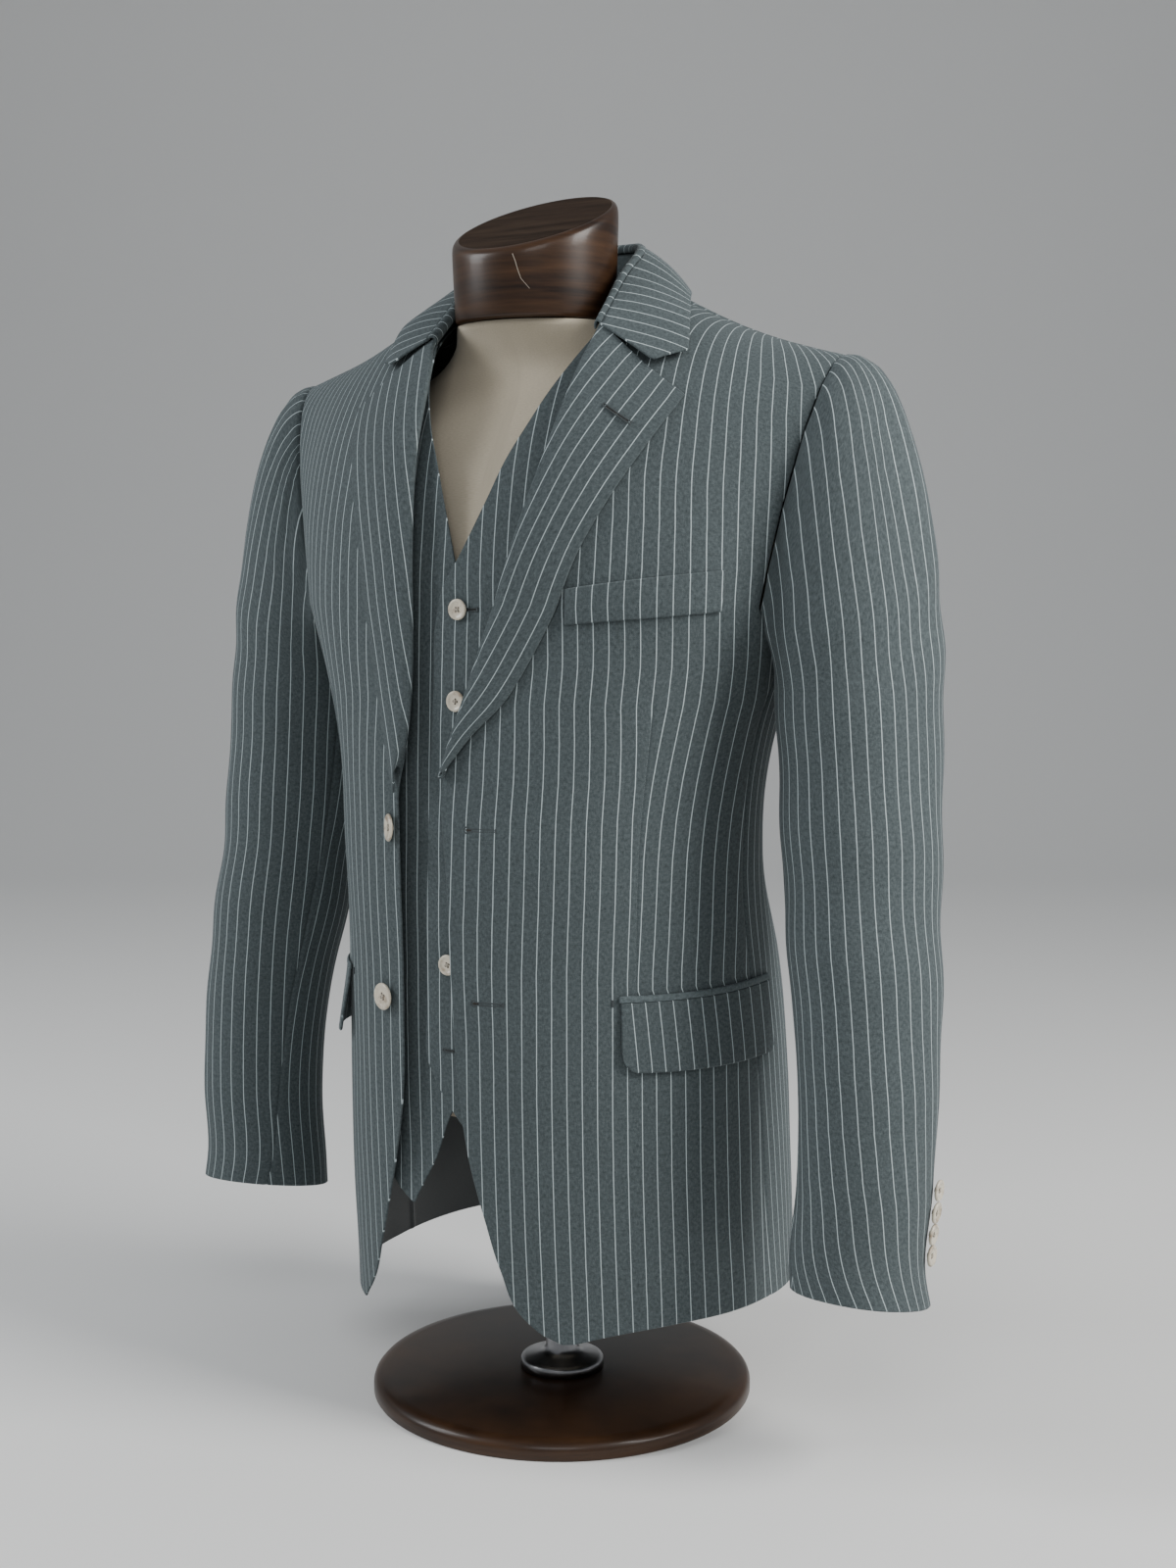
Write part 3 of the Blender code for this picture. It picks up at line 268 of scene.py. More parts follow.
# Waistcoat neck edge and front edge: how far from centre front, negative where a
# front crosses it. The left front lies over the right one.
# height, left, right
WC_FRONT_EDGE = [
    (0.1700, 0.0310, 0.0460),
    (0.1900, 0.0310, 0.0345),
    (0.2070, 0.0310, 0.0240),
    (0.2374, 0.0020, 0.0110),
    (0.2560, -0.0130, 0.0010),
    (0.2792, -0.0262, -0.0120),
    (0.3150, -0.0262, -0.0170),
    (0.4100, -0.0248, -0.0170),
    (0.5078, -0.0228, -0.0170),
    (0.5487, -0.0214, -0.0170),
    (0.5900, -0.0206, -0.0140),
    (0.6100, -0.0155, 0.0020),
    (0.6275, -0.0019, 0.0085),
    (0.6600, 0.0185, 0.0205),
    (0.6829, 0.0296, 0.0298),
    (0.7082, 0.0430, 0.0420),
    (0.7306, 0.0526, 0.0520),
    (0.7510, 0.0605, 0.0600),
    (0.7754, 0.0672, 0.0668),
    (0.8100, 0.0712, 0.0710),
    (0.8700, 0.0735, 0.0735),
]
# Waistcoat hem: a point at each front, the right one hanging lower, level to the back.
# arc_from_front, height on the left, on the right
WC_HEM = [
    (0.028, 0.2070, 0.1700),
    (0.038, 0.2085, 0.1700),
    (0.046, 0.2127, 0.1705),
    (0.060, 0.2200, 0.1790),
    (0.085, 0.2325, 0.2000),
    (0.110, 0.2450, 0.2230),
    (0.160, 0.2590, 0.2520),
    (0.220, 0.2640, 0.2640),
    (0.450, 0.2640, 0.2640),
]
# height, seam
WC_SIDE_SEAM = [(0.200, 0.218), (0.420, 0.202), (0.600, 0.234)]
WC_UNDERARM_DROP = 0.060
WC_LAP_DROP = 0.0034  # how far the right front lies under the left one's face
# s, height
WC_BUTTONS = [(-0.0009, 0.5985), (-0.0009, 0.5351), (-0.0030, 0.4728), (-0.0052, 0.4115), (-0.0078, 0.3502)]
FRONT_BUTTONS = [(0.0530, 0.4448), (0.0605, 0.3224)]


# ---------------------------------------------------------------- curves
def column(table, col, x):
    """Smooth value of a table's column; the first column is the key."""
    rows = np.array(table, float)
    xs, ys = rows[:, 0], rows[:, col]
    x = np.asarray(x, float)
    if len(xs) > 2:
        m = np.gradient(ys, xs)
    else:
        m = np.full(len(xs), (ys[-1] - ys[0]) / (xs[-1] - xs[0]))
    i = np.clip(np.searchsorted(xs, x, side="right") - 1, 0, len(xs) - 2)
    d = xs[i + 1] - xs[i]
    q = np.clip((x - xs[i]) / d, 0, 1)
    return (
        (2 * q**3 - 3 * q**2 + 1) * ys[i]
        + (q**3 - 2 * q**2 + q) * d * m[i]
        + (3 * q**2 - 2 * q**3) * ys[i + 1]
        + (q**3 - q**2) * d * m[i + 1]
    )


def along(rows, t):
    """Smooth point at t, 0 to 1, through equally spaced rows of coordinates."""
    rows = np.array(rows, float)
    key = np.linspace(0, 1, len(rows))[:, None]
    table = np.hstack([key, rows])
    return np.stack([column(table, c + 1, t) for c in range(rows.shape[1])], -1)


# ---------------------------------------------------------------- body surfaces
def ring_curves(rings, z, n=193):
    a, front, back, qf, qb = (column(rings, c, z)[:, None] for c in (1, 2, 3, 4, 5))
    angle = np.linspace(0, math.pi, n)[None, :]
    sin, cos = np.sin(angle), np.cos(angle)
    q = np.where(cos > 0, qf, qb)
    x = a * np.abs(sin) ** (2 / q)
    y = -np.sign(cos) * np.where(cos > 0, front, back) * np.abs(cos) ** (2 / q)
    step = np.hypot(np.diff(x), np.diff(y))
    arc = np.concatenate([np.zeros((len(x), 1)), np.cumsum(step, 1)], 1)
    return x, y, arc


def half_length(rings, z):
    return ring_curves(rings, np.atleast_1d(np.asarray(z, float)))[2][:, -1]


def ring_point(rings, s, z):
    x, y, arc = ring_curves(rings, z)
    length = arc[:, -1]
    side = np.where((s < 0) | (s > length), -1, 1)
    q = np.where(s < 0, -s, np.where(s > length, 2 * length - s, s))
    k = np.clip((arc <= q[:, None]).sum(1) - 1, 0, arc.shape[1] - 2)
    r = np.arange(len(s))
    f = (q - arc[r, k]) / (arc[r, k + 1] - arc[r, k])
    px = side * (x[r, k] + f * (x[r, k + 1] - x[r, k]))
    return px, y[r, k] + f * (y[r, k + 1] - y[r, k])


class Surface:
    """The outer face of a fitted garment's body, from hem to shoulder ridge."""

    def __init__(self, rings, tip, neck, back, arm_front, arm_back, neck_front, neck_back, sag):
        self.rings = rings
        self.tip, self.neck, self.back = (np.array(p) for p in (tip, neck, back))
        self.arm_front, self.arm_back = arm_front, arm_back
        self.neck_front, self.neck_back = neck_front, neck_back
        self.sag = sag
        self.length = half_length(rings, CHEST_Z)[0]

    def ridge(self, s):
        """Point of the shoulder seam, or of the neckline, that column s ends at."""
        front = s <= (self.arm_front + self.arm_back) / 2
        inner = self.length - self.neck_back
        f = np.where(
            front,
            (s - self.neck_front) / (self.arm_front - self.neck_front),
            (inner - s) / (inner - self.arm_back),
        )
        f = np.clip(f, 0, 1.3)
        point = self.neck + (self.tip - self.neck) * f[:, None]
        point[:, 2] -= self.sag * np.sin(math.pi * np.clip(f, 0, 1))
        at = front & (s < self.neck_front)
        k = s[at] / self.neck_front
        point[at] = np.stack(
            [self.neck[0] * k, self.neck[1] - 0.03 * (1 - k), self.neck[2] + 0.004 * (1 - k)], 1
        )
        at = ~front & (s > inner)
        k = (s[at] - inner) / self.neck_back * math.pi / 2
        point[at] = np.stack(
            [
                self.neck[0] * np.cos(k),
                self.neck[1] + (self.back[1] - self.neck[1]) * np.sin(k),
                self.neck[2] + (self.back[2] - self.neck[2]) * np.sin(k),
            ],
            1,
        )
        return point

    def __call__(self, s, h):
        s, h = np.broadcast_arrays(np.asarray(s, float), np.asarray(h, float))
        shape, s, h = s.shape, s.ravel(), h.ravel()
        z = np.minimum(h, CHEST_Z)
        x, y = ring_point(self.rings, s, z)
        point = np.stack([x, y, z], 1)
        up = h > CHEST_Z
        if up.any():
            length = self.length
            su = s[up]
            side = np.where((su < 0) | (su > length), -1, 1)
            folded = np.where(su < 0, -su, np.where(su > length, 2 * length - su, su))
            top = self.ridge(folded)
            top[:, 0] *= side
            turn = (1 - np.clip((h[up] - CHEST_Z) / (RIDGE_H - CHEST_Z), 0, 1)) * math.pi / 2
            fall = 1 - np.cos(turn)
            chest = point[up]
            hoop = top.copy()
            hoop[:, 0] += (chest[:, 0] - top[:, 0]) * fall
            hoop[:, 1] += (chest[:, 1] - top[:, 1]) * np.sin(turn) ** 0.88
            hoop[:, 2] += (chest[:, 2] - top[:, 2]) * fall
            point[up] = hoop
        return point.reshape(shape + (3,))

    def out(self, s, h, distance):
        """The point moved out from the surface."""
        e = 0.0015
        s, h = np.broadcast_arrays(np.asarray(s, float), np.asarray(h, float))
        h = np.minimum(h, RIDGE_H - 0.004)
        across = self(s + e, h) - self(s - e, h)
        upward = self(s, h + e) - self(s, h - e)
        normal = np.cross(across, upward)
        normal /= np.linalg.norm(normal, axis=-1)[..., None]
        return self(s, h) + normal * np.asarray(distance)[..., None]


JACKET = Surface(
    JACKET_RINGS, SHOULDER_TIP, NECK_POINT, NECK_BACK,
    S_ARM_FRONT, S_ARM_BACK, S_NECK_FRONT, S_NECK_BACK, 0.006,
)
WAISTCOAT = Surface(
    WAISTCOAT_RINGS, WC_TIP, WC_NECK_POINT, WC_NECK_BACK,
    WC_ARM_FRONT, WC_ARM_BACK, WC_NECK_FRONT, WC_NECK_BACK_S, 0.003,
)


def hem_lift(side, s):
    """Hem height at arc s, above the lowest row of the front edge."""
    return column(HEM, 1 if side == "L" else 2, s)


def scoop(s):
    """Height of the armhole's underside at arc s."""
    f = np.clip((s - S_ARM_FRONT) / (S_ARM_BACK - S_ARM_FRONT), 0, 1)
    return CHEST_Z - UNDERARM_DROP * np.sin(math.pi * f) ** 0.85


# ---------------------------------------------------------------- sleeves
def armhole_point(angle):
    """Point of the armhole seam at an angle round it, in degrees."""
    angle = np.mod(angle, 360.0)
    point = np.empty((len(angle), 3))
    top = RIDGE_H - 0.001
    front = angle <= 140
    f = angle[front] / 140
    point[front] = JACKET(np.full(front.sum(), S_ARM_FRONT), top + (CHEST_Z - top) * f)
    under = (angle > 140) & (angle < 220)
    f = (angle[under] - 140) / 80
    s = S_ARM_FRONT + (S_ARM_BACK - S_ARM_FRONT) * f
    point[under] = JACKET(s, scoop(s))
    back = angle >= 220
    f = (360 - angle[back]) / 140
    point[back] = JACKET(np.full(back.sum(), S_ARM_BACK), top + (CHEST_Z - top) * f)
    return point


def sleeve_ring(angle, z):
    cx, cy, hx, hy = (column(SLEEVE_RINGS, c, z) for c in (1, 2, 3, 4))
    a = np.radians(angle)
    return np.stack([cx + hx * np.cos(a), cy - hy * np.sin(a), z + 0 * a], -1)


def cuff_seat(z, angle):
    """Point and normal of the sleeve's outer face."""
    at = sleeve_ring(np.array([angle]), z)[0]
    ahead = sleeve_ring(np.array([angle + 2]), z)[0]
    above = sleeve_ring(np.array([angle]), z + 0.004)[0]
    normal = np.cross(above - at, ahead - at)
    return at, normal / np.linalg.norm(normal)


def form_ring(z, count):
    a, front, back, cy, q = (float(column(FORM_RINGS, c, z)) for c in range(1, 6))
    ring = []
    for k in range(count):
        t = 2 * math.pi * k / count
        sin, cos = math.sin(t), math.cos(t)
        x = a * math.copysign(abs(sin) ** (2 / q), sin)
        depth = front if cos > 0 else back
        ring.append((-x, cy - depth * math.copysign(abs(cos) ** (2 / q), cos), z))
    return ring


# ---------------------------------------------------------------- grids to cloth
PITCH = 0.01045  # pinstripe to pinstripe
LINING_NODES = ("jacket_front", "jacket_side", "jacket_back", "top_sleeve", "under_sleeve")


def spread(length, step, fine=(True, True), extra=()):
    """Positions 0 to 1 along a length in metres, closer together near fine ends and round extras."""
    n = max(2, int(round(length / step)))
    t = list(np.linspace(0, 1, n + 1))
    near = [0.0005, 0.0012, 0.0024]
    if fine[0]:
        t += [d / length for d in near]
    if fine[1]:
        t += [1 - d / length for d in near]
    for e in extra:
        t += [e + d / length for d in (-0.0024, -0.0012, -0.0005, 0.0, 0.0005, 0.0012, 0.0024)]
    t = np.array(sorted(x for x in t if 0 <= x <= 1))
    keep = np.concatenate([[True], np.diff(t) * length > 0.00025])
    keep[-1] = True
    return t[keep]


def grid_normals(P):
    across = np.gradient(P, axis=1)
    upward = np.gradient(P, axis=0)
    n = np.cross(across, upward)
    size = np.linalg.norm(n, axis=-1)[..., None]
    return n / np.where(size < 1e-12, 1, size)


def arc(P, axis):
    step = np.linalg.norm(np.diff(P, axis=axis), axis=-1)
    zero = np.zeros_like(step[:, :1] if axis == 1 else step[:1])
    return np.concatenate([zero, np.cumsum(step, axis)], axis)


def ripple(P, size, scale, seed=0.0):
    """Slow uneven relief, the same on every run."""
    x, y, z = (P[..., k] / scale for k in range(3))
    a = np.sin(1.7 * x + 2.3 * y + 1.1 * z + seed) * np.sin(1.3 * y - 1.9 * z + 0.7 * x + 2 * seed)
    b = np.sin(2.9 * x - 1.7 * z + 3.1 * y + 3 * seed) * np.sin(2.3 * z + 1.1 * x + 5 * seed)
    return size * (0.65 * a + 0.35 * b)


def valley(P, N, left=0, right=0, low=0, high=0, depth=0.0007, width=0.0014):
    """The grid with its sewn edges turned down into the seam."""
    ar, ac = arc(P, 1), arc(P, 0)
    dip = np.zeros(P.shape[:2])
    if left:
        dip = np.maximum(dip, np.exp(-((ar / width) ** 2)))
    if right:
        dip = np.maximum(dip, np.exp(-(((ar[:, -1:] - ar) / width) ** 2)))
    if low:
        dip = np.maximum(dip, np.exp(-((ac / width) ** 2)))
    if high:
        dip = np.maximum(dip, np.exp(-(((ac[-1:] - ac) / width) ** 2)))
    return P - N * (depth * dip)[..., None]


def mesh_object(name, verts, faces, materials, uvs=None, face_material=None, smooth=True):
    mesh = bpy.data.meshes.new(name)
    mesh.from_pydata(verts.tolist(), [], [tuple(int(k) for k in f) for f in faces])
    for m in materials:
        mesh.materials.append(m)
    if face_material is not None:
        mesh.polygons.foreach_set("material_index", np.asarray(face_material, np.int32))
    if uvs is not None:
        layer = mesh.uv_layers.new(name="grain")
        loops = np.empty(len(mesh.loops), np.int32)
        mesh.loops.foreach_get("vertex_index", loops)
        layer.data.foreach_set("uv", np.asarray(uvs, float)[loops].ravel())
    if smooth:
        mesh.polygons.foreach_set("use_smooth", np.ones(len(mesh.polygons), bool))
    mesh.update()
    obj = bpy.data.objects.new(name, mesh)
    bpy.context.scene.collection.objects.link(obj)
    return obj


def cloth(name, P, UV, node, materials, mirror=False, thickness=0.0016, flip=False,
          round_rim=0.45, loose=()):
    """One panel: its outer face, its inner face and a soft rim, as one closed shell."""
    P = np.asarray(P, float)
    N = grid_normals(P) * (-1 if flip else 1)
    if mirror:
        P, N = P * (-1, 1, 1), N * (-1, 1, 1)
    rows, cols = P.shape[:2]
    Q = P - N * thickness
    middle = 0.5 * (P + Q)
    idx = np.arange(rows * cols).reshape(rows, cols)
    turn = mirror != flip
    quads = np.stack([idx[:-1, :-1], idx[:-1, 1:], idx[1:, 1:], idx[1:, :-1]], -1).reshape(-1, 4)
    ring = np.concatenate([idx[0, :], idx[1:, -1], idx[-1, -2::-1], idx[-2:0:-1, 0]])
    count = rows * cols
    flat_mid = middle.reshape(-1, 3)
    # the rim bulges a little, away from the grid
    inward = np.zeros((rows, cols, 3))
    inward[:, 0] += P[:, 0] - P[:, 1]
    inward[:, -1] += P[:, -1] - P[:, -2]
    inward[0] += P[0] - P[1]
    inward[-1] += P[-1] - P[-2]
    size = np.linalg.norm(inward, axis=-1)[..., None]
    inward /= np.where(size < 1e-9, 1, size)
    rim = flat_mid[ring] + inward.reshape(-1, 3)[ring] * thickness * round_rim
    verts = np.concatenate([P.reshape(-1, 3), Q.reshape(-1, 3), rim])
    outer = quads if not turn else quads[:, ::-1]
    inner = (quads[:, ::-1] if not turn else quads) + count
    m = len(ring)
    k = np.arange(m)
    j = (k + 1) % m
    a = np.stack([ring[k], 2 * count + k, 2 * count + j, ring[j]], -1)
    b = np.stack([2 * count + k, ring[k] + count, ring[j] + count, 2 * count + j], -1)
    side = np.concatenate([a, b])
    if turn:
        side = side[:, ::-1]
    faces = np.concatenate([outer, inner, side])
    uv = np.asarray(UV, float).reshape(-1, 2)
    uvs = np.concatenate([uv, uv, uv[ring]])
    fm = np.zeros(len(faces), int)
    if len(materials) > 1:
        fm[len(outer) : len(outer) + len(inner)] = 1
    obj = mesh_object(name, verts, faces, materials, uvs, fm)
    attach(obj, "root")
    for one in node if isinstance(node, tuple) else (node,):
        if one:
            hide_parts(one)
    a_row = arc(P, 1)[:, -1].max()
    a_col = arc(P, 0)[-1].max()
    e1 = P[1:, :-1] - P[:-1, :-1]
    e2 = P[:-1, 1:] - P[:-1, :-1]
    e3 = P[1:, 1:] - P[1:, :-1]
    e4 = P[1:, 1:] - P[:-1, 1:]
    area = 0.5 * (np.linalg.norm(np.cross(e1, e2), axis=-1).sum() + np.linalg.norm(np.cross(e3, e4), axis=-1).sum())
    w, l = max(0.010, round(float(a_row), 3)), max(0.010, round(float(a_col), 3))
    share = area / (w * l)
    if share > 1:
        w = round(w * share + 0.0015, 3)
    elif share < 0.32:
        w = round(w * share / 0.34, 3)
    return obj


# ---------------------------------------------------------------- materials
def node_material(name):
    m = bpy.data.materials.new(name)
    m.use_nodes = True
    tree = m.node_tree
    return m, tree, tree.nodes["Principled BSDF"]


def math_node(tree, op, a, b=None, c=None, clamp=False):
    n = tree.nodes.new("ShaderNodeMath")
    n.operation = op
    n.use_clamp = clamp
    for k, v in enumerate((a, b, c)):
        if v is None:
            continue
        if isinstance(v, (int, float)):
            n.inputs[k].default_value = v
        else:
            tree.links.new(v, n.inputs[k])
    return n.outputs[0]


def mix_colour(tree, factor, a, b, mode="MIX"):
    n = tree.nodes.new("ShaderNodeMix")
    n.data_type = "RGBA"
    n.blend_type = mode
    for socket, v in ((n.inputs["Factor"], factor), (n.inputs[6], a), (n.inputs[7], b)):
        if isinstance(v, (int, float)):
            socket.default_value = v
        elif isinstance(v, tuple):
            socket.default_value = v + (1,) if len(v) == 3 else v
        else:
            tree.links.new(v, socket)
    return n.outputs[2]


def noise(tree, vector, scale, detail=2.0, rough=0.5):
    n = tree.nodes.new("ShaderNodeTexNoise")
    n.inputs["Scale"].default_value = scale
    n.inputs["Detail"].default_value = detail
    n.inputs["Roughness"].default_value = rough
    tree.links.new(vector, n.inputs["Vector"])
    return n.outputs["Fac"]


def scaled(tree, vector, xyz):
    n = tree.nodes.new("ShaderNodeVectorMath")
    n.operation = "MULTIPLY"
    n.inputs[1].default_value = xyz
    tree.links.new(vector, n.inputs[0])
    return n.outputs[0]


def suit_material(name, stripes=True, dark=1.0):
    m, tree, shader = node_material(name)
    uv = tree.nodes.new("ShaderNodeUVMap")
    uv.uv_map = "grain"
    split = tree.nodes.new("ShaderNodeSeparateXYZ")
    tree.links.new(uv.outputs[0], split.inputs[0])
    u, v = split.outputs[0], split.outputs[1]
    # yarn: short slubs along the warp and the weft, and a faint twill line
    warp = noise(tree, scaled(tree, uv.outputs[0], (1500.0, 330.0, 1.0)), 1.0, 2.0, 0.6)
    weft = noise(tree, scaled(tree, uv.outputs[0], (330.0, 1500.0, 1.0)), 1.0, 2.0, 0.6)
    slow = noise(tree, scaled(tree, uv.outputs[0], (26.0, 26.0, 1.0)), 1.0, 3.0, 0.55)
    # and flecks of lighter and darker fibre, spun in
    fleck = noise(tree, scaled(tree, uv.outputs[0], (460.0, 400.0, 1.0)), 1.0, 3.0, 0.70)
    yarn = math_node(tree, "ADD", math_node(tree, "MULTIPLY", warp, 0.24), math_node(tree, "MULTIPLY", weft, 0.20))
    yarn = math_node(tree, "ADD", yarn, math_node(tree, "MULTIPLY", fleck, 0.56))
    twill = math_node(tree, "SINE", math_node(tree, "MULTIPLY", math_node(tree, "ADD", u, v), 5200.0))
    # dark scales the cloth's colours; the jets pass 1.35, which paints the cloth lighter as a painted highlight
    base_a = tuple(c * dark for c in CLOTH_DARK)
    base_b = tuple(c * dark for c in CLOTH_LIGHT)
    level = math_node(tree, "MULTIPLY_ADD", math_node(tree, "SUBTRACT", yarn, 0.5), 3.4, 0.5, clamp=True)
    cloth_colour = mix_colour(tree, level, base_a, base_b)
    cloth_colour = mix_colour(
        tree, math_node(tree, "MULTIPLY", slow, 0.22), cloth_colour, tuple(c * 0.80 for c in base_a)
    )
    colour = cloth_colour
    stripe = None
    if stripes:
        wander = math_node(tree, "MULTIPLY", math_node(tree, "SUBTRACT", noise(tree, scaled(tree, uv.outputs[0], (60.0, 60.0, 1.0)), 1.0, 1.0), 0.5), 0.00035)
        phase = math_node(tree, "MULTIPLY", math_node(tree, "ADD", u, wander), 1.0 / PITCH)
        away = math_node(tree, "ABSOLUTE", math_node(tree, "SUBTRACT", math_node(tree, "FRACT", phase), 0.5))
        edge = tree.nodes.new("ShaderNodeMapRange")
        edge.interpolation_type = "SMOOTHSTEP"
        edge.inputs["From Min"].default_value = 0.00042 / PITCH
        edge.inputs["From Max"].default_value = 0.00017 / PITCH
        tree.links.new(away, edge.inputs["Value"])
        pin = math_node(tree, "MULTIPLY_ADD", math_node(tree, "SINE", math_node(tree, "MULTIPLY", v, 6800.0)), 0.12, 0.88)
        stripe = math_node(tree, "MULTIPLY", math_node(tree, "MULTIPLY", edge.outputs[0], pin), STRIPE_STRENGTH)
        colour = mix_colour(tree, stripe, cloth_colour, tuple(c * (0.4 + 0.6 * dark) for c in STRIPE_COLOUR))
    tree.links.new(colour, shader.inputs["Base Color"])
    height = math_node(tree, "ADD", yarn, math_node(tree, "MULTIPLY", twill, 0.12))
    if stripe is not None:
        height = math_node(tree, "ADD", height, math_node(tree, "MULTIPLY", stripe, 0.35))
    bump = tree.nodes.new("ShaderNodeBump")
    bump.inputs["Strength"].default_value = 0.35
    bump.inputs["Distance"].default_value = 0.00045
    tree.links.new(height, bump.inputs["Height"])
    tree.links.new(bump.outputs[0], shader.inputs["Normal"])
    shader.inputs["Roughness"].default_value = 0.86
    shader.inputs["Specular IOR Level"].default_value = 0.22
    shader.inputs["Sheen Weight"].default_value = 0.10
    shader.inputs["Sheen Roughness"].default_value = 0.45
    shader.inputs["Sheen Tint"].default_value = (0.80, 0.88, 0.90, 1)
    return m


def plain_cloth(name, dark, light, rough, sheen, fine=(900.0, 900.0, 1.0), bump_size=0.0004, spec=0.3):
    m, tree, shader = node_material(name)
    uv = tree.nodes.new("ShaderNodeUVMap")
    uv.uv_map = "grain"
    f = noise(tree, scaled(tree, uv.outputs[0], fine), 1.0, 2.0, 0.6)
    slow = noise(tree, scaled(tree, uv.outputs[0], (22.0, 22.0, 1.0)), 1.0, 3.0, 0.5)
    k = math_node(tree, "MULTIPLY_ADD", math_node(tree, "SUBTRACT", math_node(tree, "ADD", math_node(tree, "MULTIPLY", f, 0.7), math_node(tree, "MULTIPLY", slow, 0.3)), 0.5), 2.2, 0.5, clamp=True)
    tree.links.new(mix_colour(tree, k, dark, light), shader.inputs["Base Color"])
    bump = tree.nodes.new("ShaderNodeBump")
    bump.inputs["Strength"].default_value = 0.4
    bump.inputs["Distance"].default_value = bump_size
    tree.links.new(f, bump.inputs["Height"])
    tree.links.new(bump.outputs[0], shader.inputs["Normal"])
    shader.inputs["Roughness"].default_value = rough
    shader.inputs["Specular IOR Level"].default_value = spec
    shader.inputs["Sheen Weight"].default_value = sheen
    return m


def wood_material(name, dark, light, rough, coat, along=(6.0, 6.0, 90.0), spec=0.5):
    m, tree, shader = node_material(name)
    geo = tree.nodes.new("ShaderNodeTexCoord")
    f = noise(tree, scaled(tree, geo.outputs["Object"], along), 1.0, 4.0, 0.6)
    g = noise(tree, scaled(tree, geo.outputs["Object"], tuple(3.5 * a for a in along)), 1.0, 3.0, 0.6)
    k = math_node(tree, "MULTIPLY_ADD", math_node(tree, "SUBTRACT", math_node(tree, "ADD", math_node(tree, "MULTIPLY", f, 0.65), math_node(tree, "MULTIPLY", g, 0.35)), 0.5), 3.0, 0.45, clamp=True)
    tree.links.new(mix_colour(tree, k, dark, light), shader.inputs["Base Color"])
    shader.inputs["Roughness"].default_value = rough
    shader.inputs["Specular IOR Level"].default_value = spec
    shader.inputs["Coat Weight"].default_value = coat
    shader.inputs["Coat Roughness"].default_value = 0.16
    bump = tree.nodes.new("ShaderNodeBump")
    bump.inputs["Strength"].default_value = 0.12
    bump.inputs["Distance"].default_value = 0.0004
    tree.links.new(f, bump.inputs["Height"])
    tree.links.new(bump.outputs[0], shader.inputs["Normal"])
    return m


def horn_material():
    m, tree, shader = node_material("button_horn_scene")
    geo = tree.nodes.new("ShaderNodeTexCoord")
    f = noise(tree, scaled(tree, geo.outputs["Object"], (120.0, 120.0, 120.0)), 1.0, 3.0, 0.6)
    k = math_node(tree, "MULTIPLY_ADD", math_node(tree, "SUBTRACT", f, 0.54), 4.2, 0.16, clamp=True)
    tree.links.new(mix_colour(tree, k, (0.62, 0.565, 0.455), (0.27, 0.19, 0.12)), shader.inputs["Base Color"])
    shader.inputs["Roughness"].default_value = 0.30
    shader.inputs["Coat Weight"].default_value = 0.25
    shader.inputs["Coat Roughness"].default_value = 0.2
    return m


def flat_material(name, colour, rough, metallic=0.0):
    m, tree, shader = node_material(name)
    geo = tree.nodes.new("ShaderNodeTexCoord")
    f = noise(tree, scaled(tree, geo.outputs["Object"], (260.0, 260.0, 260.0)), 1.0, 2.0, 0.5)
    k = math_node(tree, "MULTIPLY_ADD", math_node(tree, "SUBTRACT", f, 0.5), 1.2, 0.5, clamp=True)
    tree.links.new(mix_colour(tree, k, tuple(c * 0.88 for c in colour), tuple(min(1, c * 1.10) for c in colour)), shader.inputs["Base Color"])
    shader.inputs["Roughness"].default_value = rough
    shader.inputs["Metallic"].default_value = metallic
    return m


CLOTH_DARK, CLOTH_LIGHT = (0.036, 0.046, 0.049), (0.108, 0.133, 0.139)
STRIPE_COLOUR, STRIPE_STRENGTH = (0.64, 0.74, 0.76), 0.80
SUIT = suit_material("suit_cloth_scene")
SUIT_PLAIN = suit_material("suit_cloth_plain", stripes=False)
# jets: the suit cloth without stripes, painted 1.35 times lighter as a painted highlight on their raised band
SUIT_JET_PAINTED_HIGHLIGHT = suit_material("suit_cloth_jet", stripes=False, dark=1.35)
LINING = plain_cloth("jacket_lining", (0.040, 0.046, 0.050), (0.060, 0.068, 0.072), 0.42, 0.0, (300.0, 2400.0, 1.0), 0.0002, 0.5)
WC_BACK = plain_cloth("waistcoat_back_scene", (0.050, 0.058, 0.062), (0.078, 0.088, 0.092), 0.40, 0.0, (300.0, 2400.0, 1.0), 0.0002, 0.5)
JERSEY = plain_cloth("form_jersey_scene", (0.42, 0.365, 0.275), (0.54, 0.48, 0.375), 0.90, 0.15, (420.0, 1900.0, 1.0), 0.0005, 0.15)
WOOD = wood_material("form_wood_scene", (0.013, 0.0056, 0.0026), (0.064, 0.030, 0.013), 0.38, 0.16, spec=0.30)
WOOD_TOP = wood_material("form_wood_top", (0.014, 0.0085, 0.0055), (0.042, 0.027, 0.018), 0.85, 0.0, (10.0, 90.0, 10.0), 0.10)
STEEL = flat_material("form_steel_scene", (0.34, 0.34, 0.35), 0.30, 1.0)
HORN = horn_material()
THREAD = flat_material("dark_thread", (0.040, 0.049, 0.052), 0.8)
THREAD_PALE = flat_material("button_thread", (0.42, 0.38, 0.32), 0.8)
# painted shade: a dark colour on the discs and tubes that stand in for open holes and slits
HOLE_SHADE = flat_material("hole_painted_shade", (0.020, 0.016, 0.012), 0.9)
# painted highlight: the pale colour of the streak down the neck block's front
NECK_HIGHLIGHT = flat_material("painted_highlight_streak", (0.30, 0.26, 0.21), 0.8)


